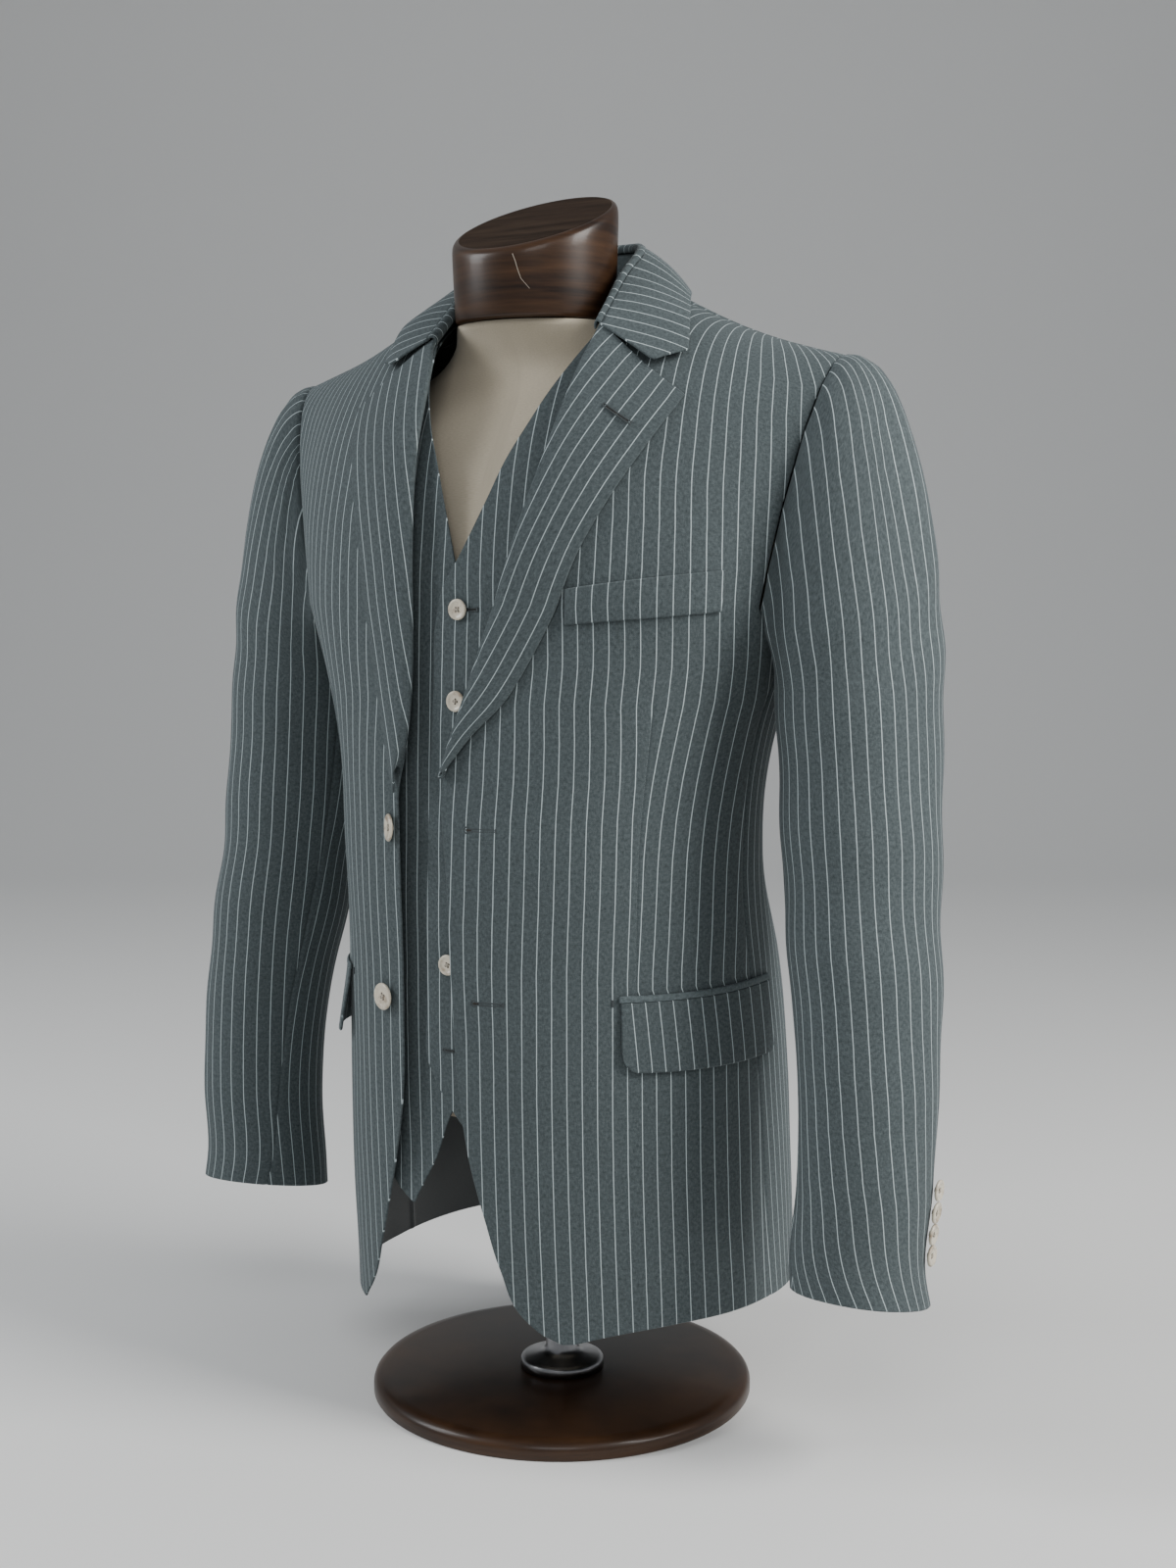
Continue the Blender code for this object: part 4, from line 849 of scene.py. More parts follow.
# ---------------------------------------------------------------- jacket, fronts
DART = [(0.335, 0.1368), (0.349, 0.1368), (0.374, 0.1370), (0.401, 0.1375), (0.428, 0.1385), (0.455, 0.1400), (0.482, 0.1422), (0.508, 0.1440), (0.550, 0.1467)]
DART_TOP, DART_FOOT = 0.550, 0.335
# height, cloth taken up by the dart
INTAKE = [(0.325, 0.0), (0.335, 0.0133), (0.349, 0.0133), (0.374, 0.0126), (0.401, 0.0125), (0.428, 0.0122), (0.455, 0.0106), (0.482, 0.0088), (0.508, 0.0051), (0.535, 0.0)]
# height, place of the fifth stripe: the front below the chest is counted from it
FIFTH = [(0.209, 0.1300), (0.349, 0.1307), (0.374, 0.1317), (0.401, 0.1330), (0.428, 0.1337), (0.455, 0.1341), (0.482, 0.1354), (0.508, 0.1354), (0.535, 0.1344), (0.561, 0.1361)]
# height, place of the eleventh stripe, distance from stripe to stripe behind it and before it: the front above the chest
ELEVENTH = [
    (0.561, 0.2019, 0.0117, 0.0107), (0.601, 0.2014, 0.0115, 0.0108), (0.626, 0.1992, 0.0105, 0.0104), (0.651, 0.1959, 0.0100, 0.0100),
    (0.678, 0.1920, 0.0098, 0.0098), (0.706, 0.1882, 0.0093, 0.0093), (0.738, 0.1832, 0.0088, 0.0088), (0.777, 0.1777, 0.0084, 0.0084),
    (0.820, 0.1697, 0.0072, 0.0072), (0.868, 0.1600, 0.0055, 0.0055),
]


def smooth01(t):
    t = np.clip(t, 0, 1)
    return t * t * (3 - 2 * t)


def row_arc(surface, s, h, ref, n=14):
    """Signed distance along the row at height h from column ref to column s."""
    s, h = np.broadcast_arrays(s, h)
    total = np.zeros(s.shape)
    prev = surface(np.full(s.shape, ref), h)
    for k in range(1, n + 1):
        here = surface(ref + (s - ref) * k / n, h)
        total += np.linalg.norm(here - prev, axis=-1)
        prev = here
    return total * np.sign(s - ref)


def front_grain(s, h):
    dart = np.interp(h, [d[0] for d in DART], [d[1] for d in DART])
    intake = np.interp(h, [d[0] for d in INTAKE], [d[1] for d in INTAKE]) * (s > dart)
    fifth = np.interp(h, [d[0] for d in FIFTH], [d[1] for d in FIFTH])
    ease = np.interp(h, [0.30, 0.37, 0.42, 0.50, 0.56], [0.21, 0.19, 0.175, 0.175, 0.21])

    near = np.interp(h, [0.30, 0.38, 0.50, 0.58], [1.0, 0.92, 0.92, 1.0])

    def count(x):
        x = np.where(x < 0.055, 0.055 + (x - 0.055) * near, x)
        return np.where(x < 0.145, x, 0.145 + ease * np.log1p(np.clip(x - 0.145, 0, 1) / ease))

    low = 5 + (count(s) - count(fifth) + intake) / 0.0105
    at = np.interp(h, [r[0] for r in ELEVENTH], [r[1] for r in ELEVENTH])
    behind, before = (np.interp(h, [r[0] for r in ELEVENTH], [r[c] for r in ELEVENTH]) for c in (2, 3))
    high = 11 + (s - at) / np.where(s > at, behind, before)
    share = smooth01((h - 0.53) / 0.08)
    return np.stack([(low + (high - low) * share + 0.5) * PITCH, h + 0 * s], -1)


def warp_levels(side, step):
    low_top = scoop(S_SIDE_TOP)
    a = np.concatenate([0.086 + np.array([0.0, 0.0006, 0.0016, 0.003, 0.006]), np.arange(0.0945, low_top - 0.002, step)])
    corner = np.linspace(S_SIDE_TOP, S_ARM_FRONT, 13)
    b = scoop(corner)
    c = np.concatenate([np.arange(CHEST_Z + step, RIDGE_H - 0.004, step), RIDGE_H - np.array([0.0035, 0.0015, 0.0006])])
    return np.concatenate([a, b, c]), len(a), corner


def jacket_front(side):
    col = 1 if side == "L" else 2
    level, first, corner = warp_levels(side, 0.0042)
    gap = 0.00012
    length = 0.24
    t = spread(length, 0.0046, (True, True), (0.55,))
    d = 0.55
    s0, s1 = np.full(len(level), 0.1), np.full(len(level), 0.2)
    h = level[:, None] + 0 * t[None, :]
    for _ in range(7):
        dart = np.interp(h[:, 0], [r[0] for r in DART] + [0.70, 0.87], [r[1] for r in DART] + [0.1520, 0.1540])[:, None]
        dart = np.clip(dart, (s0 + 0.25 * (s1 - s0))[:, None], (s0 + 0.8 * (s1 - s0))[:, None])
        tt = t[None, :]
        s = np.where(tt <= d, s0[:, None] + (dart - s0[:, None]) * tt / d, dart + (s1[:, None] - dart) * (tt - d) / (1 - d))
        low = hem_lift(side, s[0])[None, :]
        fade = np.clip(1 - (level - 0.086) / 0.23, 0, 1)[:, None] ** 1.5
        h = level[:, None] + (low - 0.086) * fade
        s0 = column(FRONT_EDGE, col, h[:, 0]) + gap
        s1 = column(SIDE_SEAMS, 1, h[:, -1])
        s1[first : first + len(corner)] = corner
        s1[first + len(corner) :] = S_ARM_FRONT
        s1 -= gap
    P = JACKET(s, h)
    N = grid_normals(P)
    dartline = np.interp(h, [r[0] for r in DART], [r[1] for r in DART])
    inside = smooth01((h - DART_FOOT) / 0.004) * smooth01((DART_TOP - h) / 0.03)
    P = P - N * (0.0007 * np.exp(-(((s - dartline) / 0.0011) ** 2)) * inside)[..., None]
    swell = ripple(P, 0.0006, 0.060, 1.3 if side == "L" else 4.1)
    calm = smooth01((s - s0[:, None]) / 0.03) * smooth01((s1[:, None] - s) / 0.02)
    P = P + N * (swell * calm)[..., None]
    # the edge above the break runs on under the lapel's roll
    P = valley(P, N, right=1, high=1)
    return P, front_grain(s, h), s, h


def make_fronts():
    made = {}
    for side, mirror in (("L", False), ("R", True)):
        P, UV, _, _ = jacket_front(side)
        made[side] = cloth(f"jacket_front_{side}_cloth", P, UV, f"jacket_front_{side}", [SUIT, LINING], mirror, 0.0017)
    return made


def make_sides_backs():
    for side, mirror in (("L", False), ("R", True)):
        v = spread(0.50, 0.0045, (True, True))[:, None]
        u = spread(0.09, 0.0045, (True, True))[None, :]
        top = scoop(S_SIDE_TOP + (S_ARM_BACK - S_SIDE_TOP) * u) - 0.0002
        low = hem_lift(side, 0.268 + 0.102 * u)
        h = low + v * (top - low)
        s0 = column(SIDE_SEAMS, 1, h) + 0.00012
        s1 = column(SIDE_SEAMS, 2, h) - 0.00012
        s = s0 + (s1 - s0) * u
        P = JACKET(s, h)
        N = grid_normals(P)
        P = valley(P + N * ripple(P, 0.0005, 0.05, 2.2)[..., None] * np.sin(math.pi * u)[..., None], N, 1, 1, 0, 1)
        UV = np.stack([s - 0.5 * (s0 + s1) + 0.0021, h], -1)
        cloth(f"jacket_side_{side}_cloth", P, UV, f"jacket_side_{side}", [SUIT, LINING], mirror, 0.0017)
        v = spread(0.78, 0.0050, (False, True))[:, None]
        u = spread(0.19, 0.0048, (True, True))[None, :]
        low = hem_lift(side, 0.370 + 0.135 * u)
        h = low + v * (RIDGE_H - 0.0006 - low)
        z = np.minimum(h, CHEST_Z)
        s0 = np.where(h < CHEST_Z, column(SIDE_SEAMS, 2, h), S_ARM_BACK) + 0.00012
        s1 = half_length(JACKET_RINGS, z[:, 0])[:, None] - 0.00012
        s = s0 + (s1 - s0) * u
        P = JACKET(s, h)
        N = grid_normals(P)
        calm = np.sin(math.pi * u) * np.sin(math.pi * np.clip(v, 0, 1)) ** 0.3
        P = valley(P + N * (ripple(P, 0.0009, 0.07, 5.0) * calm)[..., None], N, 1, 1, 0, 1)
        a = arc(P, 1)
        UV = np.stack([(a[:, -1:] - a) + 0.0 * h, h], -1)
        cloth(f"jacket_back_{side}_cloth", P, UV, f"jacket_back_{side}", [SUIT, LINING], mirror, 0.0017)


# ---------------------------------------------------------------- lapels and collar
def lapel(side):
    col = 1 if side == "L" else 2
    edge = np.array([(r[1], r[2]) if side == "L" else (r[3], r[4]) for r in LAPELS])
    gs, gh, ns, nh, ts, th = LAPEL_TOPS[side]
    roll_h = np.append([r[0] for r in LAPELS], gh)
    edge = np.vstack([edge, (ts, th)])
    t = spread(0.31, 0.0036, (True, True))
    key = np.linspace(0, 1, len(roll_h))
    rh = column(np.stack([key, roll_h], 1), 1, t)
    es = column(np.column_stack([key, edge]), 1, t)
    eh = column(np.column_stack([key, edge]), 2, t)
    w = spread(0.075, 0.0030, (False, True))[None, :]
    rs = column(FRONT_EDGE, col, rh)
    rs = rs + (gs - rs) * smooth01((t - 0.9) / 0.1)
    s = rs[:, None] + (es - rs)[:, None] * w
    h = rh[:, None] + (eh - rh)[:, None] * w
    bend = np.clip((t - 0.72) / 0.28, 0, 1)[:, None]
    share = math.hypot(ns - gs, nh - gh) / (math.hypot(ns - gs, nh - gh) + math.hypot(ts - ns, th - nh))
    line_s = np.where(w < share, gs + (ns - gs) * w / share, ns + (ts - ns) * (w - share) / (1 - share))
    line_h = np.where(w < share, gh + (nh - gh) * w / share, nh + (th - nh) * (w - share) / (1 - share))
    s = s + bend**2 * (line_s - (gs + (ts - gs) * w))
    h = h + bend**2 * (line_h - (gh + (th - gh) * w))
    wide = np.hypot(es - rs, eh - rh)[:, None]
    fade = np.sin(math.pi * np.clip(t, 0, 1) ** 0.8)[:, None]
    belly = 0.0034 * np.sin(math.pi * w**0.6) * (0.35 + 0.65 * fade)
    radius = (0.0021 + 0.0012 * smooth01(1 - t / 0.35))[:, None]
    lift = 2 * radius * np.exp(-w * wide / 0.012) + 0.0030 * (1 - np.exp(-w * wide / 0.012))
    away = lift + belly
    P = JACKET.out(s, h, away)
    # the roll: half a turn from under the lapel round to its face
    E = JACKET(s[:, :1], h[:, :1])
    Nn = JACKET.out(s[:, :1], h[:, :1], 0.01) - E
    Nn /= np.linalg.norm(Nn, axis=-1)[..., None]
    out = P[:, :1] - P[:, 4:5]
    out -= Nn * (out * Nn).sum(-1)[..., None]
    out /= np.linalg.norm(out, axis=-1)[..., None]
    phi = np.radians(np.linspace(-80, 90, 11))[None, :-1, None]
    r = (0.5 * np.linalg.norm(P[:, :1] - E, axis=-1))[..., None]
    centre = 0.5 * (P[:, :1] + E)
    roll = centre + r * (np.cos(phi) * out * 1.15 + np.sin(phi) * Nn)
    P = np.concatenate([roll, P], 1)
    a = arc(P, 1)
    u = a[:, -1:] - a
    UV = np.stack([u + PITCH * 0.5 - 0.0075, 0 * u + t[:, None] * 0.31], -1)
    return P, UV


def make_lapels():
    for side, mirror in (("L", False), ("R", True)):
        P, UV = lapel(side)
        cloth(f"lapel_{side}_cloth", P, UV, f"lapel_{side}", [SUIT], mirror, 0.0016)


def collar():
    halves, slides, mids = [], [], []
    n = 64
    across = spread(0.055, 0.0026, (False, True))
    for side, sign in (("L", 1), ("R", -1)):
        table = COLLAR_L if side == "L" else COLLAR_R
        roll = np.array([r[:3] for r in table])
        edge = JACKET.out([r[3] for r in table], [r[4] for r in table], np.full(len(table), 0.0042))
        gs, gh, ns, nh, ts, th = LAPEL_TOPS[side]
        notch = JACKET.out(ns + 0.001, nh + 0.004, 0.0044)
        t = np.concatenate([[0, 0.004, 0.010], np.linspace(0.02, 1, n)])
        top, low = along(roll, t), along(edge, t)
        rows = []
        for k in range(len(t)):
            w = across
            line = top[k] + (low[k] - top[k]) * w[:, None]
            chord = low[k] - top[k]
            outward = np.array([line[:, 0].mean(), line[:, 1].mean() * 0.9, 0.06])
            outward -= chord * (outward @ chord) / (chord @ chord)
            outward /= np.linalg.norm(outward)
            line = line + outward * (0.0028 * np.sin(math.pi * w) ** 0.8)[:, None]
            pull = np.clip(1 - t[k] / 0.16, 0, 1) ** 1.5
            middle = 0.5 * (top[k] + low[k])
            mids.append(line[len(w) // 2] * (sign, 1, 1))
            pulled = pull * (notch - middle) * (1 - np.abs(2 * w - 1))[:, None]
            k0, k1 = max(0, k - 2), min(len(t) - 1, k + 3)
            to_end = (top[k0] + low[k0]) - (top[k1] + low[k1])
            to_end /= np.linalg.norm(to_end)
            slides.append(np.concatenate([np.zeros(9), pulled @ to_end]))
            line = line + pulled
            # the fold over the top of the stand
            inward = np.array([0.0, -0.03, 0.0]) - top[k]
            inward[2] = 0
            inward /= np.linalg.norm(inward)
            r = 0.0024
            start = line[1] - line[0]
            start /= np.linalg.norm(start)
            up = np.array([0, 0, 1.0])
            centre = line[0] + inward * r - up * 0.0004
            fold = []
            for phi in np.radians(np.linspace(-35, 180, 10))[:-1]:
                fold.append(centre + r * (math.cos(phi) * inward + math.sin(phi) * up * 1.1))
            line = np.vstack([fold, line])
            rows.append(line * (sign, 1, 1))
        halves.append(rows)
    P = np.array(halves[0] + halves[1][-2::-1])
    cols = P.shape[1]
    half = len(halves[0])
    mid = np.array(mids[:half] + mids[half:][-2::-1])
    slide = np.array(slides[:half] + slides[half:][-2::-1])
    a = np.concatenate([[0], np.cumsum(np.linalg.norm(np.diff(mid, axis=0), axis=1))])
    a -= a[half - 1]
    b = arc(P, 1)
    UV = np.stack([np.abs(a)[:, None] + slide + 0.0008, b], -1)
    return P, UV


def stand():
    halves = []
    for side, sign in (("L", 1), ("R", -1)):
        table = COLLAR_L if side == "L" else COLLAR_R
        roll = np.array([r[:3] for r in table])
        t = np.linspace(0, 1, 50)
        foot, top = along(STAND_FOOT, t), along(roll[1:], t)
        inward = np.array([0.0, -0.03, 0]) - top
        inward[:, 2] = 0
        inward /= np.linalg.norm(inward, axis=1)[:, None]
        top = top + inward * 0.0034 - np.array([0, 0, 0.0028])
        w = np.linspace(0, 1, 12)
        halves.append([(foot[k] + (top[k] - foot[k]) * w[:, None]) * (sign, 1, 1) for k in range(len(t))])
    P = np.array(halves[0] + halves[1][-2::-1])
    a = arc(P, 0)
    return P, np.stack([a, arc(P, 1)], -1)


def make_collar():
    P, UV = collar()
    cloth("collar_fall_cloth", P, UV, "collar_fall", [SUIT], False, 0.0018, flip=True)
    P, UV = stand()
    cloth("collar_stand_cloth", P, UV, "collar_stand", [SUIT_PLAIN], False, 0.0016)


# ---------------------------------------------------------------- sleeves
# angle round the arm where a stripe leaves the head, and how far round it drifts above there, at shares HEAD_T
HEAD_T = [0.0, 0.1, 0.25, 0.4, 0.5, 0.6, 0.7, 0.8, 0.9, 1.0]
HEAD_DRIFT = [
    (0, 0, 0, 0, 0, 0, 0, 0, 0, 0, 0),
    (12, -6, -4, -1, 7, 9, 9, 6, 4, 2, 0),
    (20, -8, -6, -1, 6, 9, 8, 6, 4, 2, 0),
    (28, -12, -8, -2, 4, 6, 6, 5, 4, 2.5, 0),
    (39, -14, -10, -4, 1, 2.3, 3, 3, 2.5, 1.5, 0),
    (48, -14, -11, -4, 1.5, 3, 4, 3, 2, 1, 0),
    (57, -13, -9, -1.5, 3, 3, 3, 2.2, 1, 0.4, 0),
    (67, -9, -5, -0.5, 2, 3, 3, 2, 1, 1, 0),
    (78, -7, -4, 0, 2, 2, 2, 1.5, 0, 0, 0),
    (88, -2, 1, 4, 4, 4, 3, 2.3, 1.5, 0, 0),
    (100, 4, 4.5, 6, 6, 5, 4.7, 4, 2, 1, 0),
    (114, 6, 7, 7, 6.5, 6, 5, 4, 3, 1.5, 0),
    (130, 6, 7, 7, 6.5, 6, 5, 4, 3, 1.5, 0),
    (180, 0, 0, 0, 0, 0, 0, 0, 0, 0, 0),
]


# the right sleeve's stripes, which run up into the seam
HEAD_DRIFT_RIGHT = HEAD_DRIFT[:7] + [
    (67, -13, -8, -2, 0, 0, 0, 0, 0, 0, 0),
    (78, -16, -10, -4, -1, 0, 0, 0, 0, 0, 0),
    (88, -20, -14, -6, -2, 0, 0, 0, 0, 0, 0),
    (102, -29, -20, -10, -5, -1, 0, 0, 0, 0, 0),
    (110, -32, -20, -9, -4, -2, -1, 0, 0, 0, 0),
    (119, -22, -16, -9, -4, -2.5, -1.5, -1, -1, -0.5, 0),
    (129, -8, -6, -2, -2, -2, -2, -2, -2, -1, 0),
    (142, 0, 0, 0, 0, 0, 0, 0, 0, 0, 0),
    (180, 0, 0, 0, 0, 0, 0, 0, 0, 0, 0),
]
# height, how far the left sleeve's stripes lie from its own line; the right one's run down it
ARM_DRIFT_Z = [0.130, 0.178, 0.217, 0.255, 0.293, 0.332, 0.370, 0.409, 0.447, 0.485, 0.509, 0.545]
ARM_DRIFT_U = [0.0370, 0.0256, 0.0175, 0.0121, 0.0088, 0.0074, 0.0057, 0.0047, 0.0034, 0.0017, 0.0010, 0.0]


def stripe_foot(angle, t, table):
    """Angle at the arm of the stripe that passes the given angle at share t of the head."""
    foot = np.array([r[0] for r in table], float)
    drift = np.array([np.interp(t, HEAD_T, r[1:]) for r in table])
    return np.sign(angle) * np.interp(np.abs(angle), foot + drift, foot)


def biceps_arc(angle):
    a = np.linspace(-180, 180, 721)
    ring = sleeve_ring(a, np.full(len(a), BICEPS_Z))
    length = np.concatenate([[0], np.cumsum(np.linalg.norm(np.diff(ring, axis=0), axis=1))])
    length -= np.interp(0.0, a, length)
    return np.interp(angle, a, length)


def sleeve(piece, side):
    head_t = 1 - spread(0.19, 0.0040, (False, True))[::-1]
    arm_t = spread(0.43, 0.0046, (False, True))[1:]
    cols = spread(0.24 if piece == "top" else 0.14, 0.0036, (True, True))
    shift = 0.10
    lines, us, vs, heads = [], [], [], []
    half = 45.0 if piece == "top" else 200.0
    table = HEAD_DRIFT if side == "L" else HEAD_DRIFT_RIGHT
    for row in range(len(head_t) + len(arm_t)):
        head = row < len(head_t)
        t = head_t[row] if head else arm_t[row - len(head_t)]
        z = BICEPS_Z + (0.7 - BICEPS_Z) * (1 - t) if head else BICEPS_Z + (CUFF_Z - BICEPS_Z) * t
        front, back = float(column(SLEEVE_SEAMS, 1, z)), float(column(SLEEVE_SEAMS, 2, z))
        first, last = (back - 360, front) if piece == "top" else (front, back)
        angle = first + shift + (last - first - 2 * shift) * cols
        wrapped = np.mod(angle, 360.0)
        ring = sleeve_ring(wrapped, z)
        signed = np.where(angle > 180, angle - 360, angle) if piece == "under" else angle
        if head:
            out = np.stack([column(SLEEVE_HEAD, c, wrapped) for c in (1, 2, 3)], -1)
            out /= np.linalg.norm(out, axis=1)[:, None]
            leave, arrive = (column(SLEEVE_HEAD, c, wrapped)[:, None] for c in (4, 5))
            start = armhole_point(wrapped) + out * 0.0002
            end = sleeve_ring(wrapped, BICEPS_Z)
            down = sleeve_ring(wrapped, BICEPS_Z - 0.01) - end
            down /= np.linalg.norm(down, axis=1)[:, None]
            ring = (
                (2 * t**3 - 3 * t**2 + 1) * start
                + (t**3 - 2 * t**2 + t) * out * leave
                + (3 * t**2 - 2 * t**3) * end
                + (t**3 - t**2) * down * arrive
            )
            if piece == "top":
                us.append(biceps_arc(stripe_foot(angle, t, table)) + 0.0021)
            else:
                a = np.concatenate([[0], np.cumsum(np.linalg.norm(np.diff(ring, axis=0), axis=1))])
                us.append(a - np.interp(half, angle, a))
            vs.append(np.full(len(cols), BICEPS_Z + 0.19 * (1 - t)))
        else:
            middle = sleeve_ring(np.array([0.0, 180.0]), z).mean(0)
            away = (ring[:, 0] - middle[0]) * 0.85 + (ring[:, 1] - middle[1]) * 0.52
            ahead = (ring[:, 0] - middle[0]) * 0.52 - (ring[:, 1] - middle[1]) * 0.85
            ring[:, 2] -= (CUFF_SLANT * away - CUFF_RISE * ahead) / 0.047 * t**6
            a = np.concatenate([[0], np.cumsum(np.linalg.norm(np.diff(ring, axis=0), axis=1))])
            ref = float(np.interp(half, angle, a))
            drift = float(np.interp(z, ARM_DRIFT_Z, ARM_DRIFT_U)) if side == "L" else 0.0
            us.append(a - ref + (biceps_arc(half) + 0.0021 + drift if piece == "top" else 0.0))
            vs.append(np.full(len(cols), z))
        heads.append(t if head else 1.0)
        lines.append(ring)
    P = np.array(lines)[::-1][:, ::-1]
    U = np.array(us)[::-1][:, ::-1]
    V = np.array(vs)[::-1][:, ::-1]
    H = np.array(heads)[::-1]
    N = grid_normals(P)
    # ease at the crown, soft folds above and below the elbow, a faint uneven ripple, and the edges turned down into the
    # seams
    z = P[..., 2]
    crown = np.exp(-(((H - 0.16) / 0.16) ** 2))[:, None] * (H < 1)[:, None]
    ease = crown * 0.0007 * np.sin(U * 2 * math.pi / 0.021)
    lean = P[..., 0] * 0.4 + P[..., 1] * 0.9
    fold = 0.0013 * np.sin((z + 0.35 * lean) * 2 * math.pi / 0.090) * np.exp(-(((z - 0.40) / 0.10) ** 2))
    fold += 0.0011 * np.sin((z - 0.5 * lean) * 2 * math.pi / 0.070 + 1.0) * np.exp(-(((z - 0.58) / 0.05) ** 2))
    edge = np.minimum(arc(P, 1), arc(P, 1)[:, -1:] - arc(P, 1))
    fold = fold * smooth01(edge / 0.012)
    P = P + N * (ease + fold + ripple(P, 0.0006, 0.045, 7.0) * smooth01(edge / 0.01))[..., None]
    P = valley(P, N, 1, 1, 0, 1, depth=0.0008)
    return P, np.stack([U, V], -1)


def make_sleeves():
    for piece in ("top", "under"):
        for side, mirror in (("L", False), ("R", True)):
            P, UV = sleeve(piece, side)
            cloth(f"{piece}_sleeve_{side}_cloth", P, UV, f"{piece}_sleeve_{side}", [SUIT, LINING], mirror, 0.0017)


# ---------------------------------------------------------------- pockets
def patch(s0, s1, low0, low1, high0, high1, away, step=0.0030, round_low=0.0, flare=0.0, swell=0.0, round_end=0.0):
    width = s1 - s0
    u = spread(width, step, (True, True))[None, :]
    v = spread(max(high0 - low0, high1 - low1), min(step, (high0 - low0) / 4), (True, True))[:, None]
    low = low0 + (low1 - low0) * u
    high = high0 + (high1 - high0) * u
    if round_low:
        k = np.clip(1 - u * width / round_low, 0, 1)
        low = low + round_low * (1 - np.sqrt(np.clip(1 - k**2, 0, 1)))
    if round_end:
        k = np.clip(1 - (1 - u) * width / round_end, 0, 1)
        low = low + round_end * (1 - np.sqrt(np.clip(1 - k**2, 0, 1)))
    s = s0 + width * u + 0 * v
    h = low + (high - low) * v
    d = away + flare * (1 - v) ** 1.3 + swell * np.sin(math.pi * np.clip(v, 0, 1)) ** 0.7 + 0 * s
    return JACKET.out(s, h, d), s, h


# places along the front of the flap's stripes at its upper edge
FLAP_STRIPES = [0.1328, 0.1423, 0.1523, 0.1628, 0.1743, 0.1863, 0.1978, 0.2113, 0.2243, 0.2394, 0.2550]


def make_pockets():
    for side, mirror in (("L", False), ("R", True)):
        P, s, h = patch(**FLAP, away=0.0026, round_low=0.012, flare=FLAP_FLARE[side] + 0.0014, swell=0.0006, round_end=0.005)
        lean = s - (0.332 - h) * 0.083
        ahead = np.concatenate([[0.1028], FLAP_STRIPES, [0.2990]])
        g = np.stack([(np.interp(lean, ahead, [-3.0] + list(range(len(FLAP_STRIPES))) + [len(FLAP_STRIPES) + 2.0]) + 0.5) * PITCH, h], -1)
        cloth(f"flap_{side}_cloth", P, g, f"flap_{side}", [SUIT], mirror, 0.0018)
        P, s, h = patch(**dict(JET, s1=JET["s1"] - 0.003), away=0.0024, step=0.0028, swell=0.0003)
        # the jet takes the lighter cloth, its painted highlight
        cloth(f"jet_{side}_cloth", P, np.stack([h, s], -1), f"jet_{side}", [SUIT_JET_PAINTED_HIGHLIGHT], mirror, 0.0017)
    P, s, h = patch(**WELT, away=0.0024, step=0.0028, swell=0.0004)
    g = front_grain(s, h)
    cloth("breast_welt_cloth", P, g, "breast_welt", [SUIT], False, 0.0016)


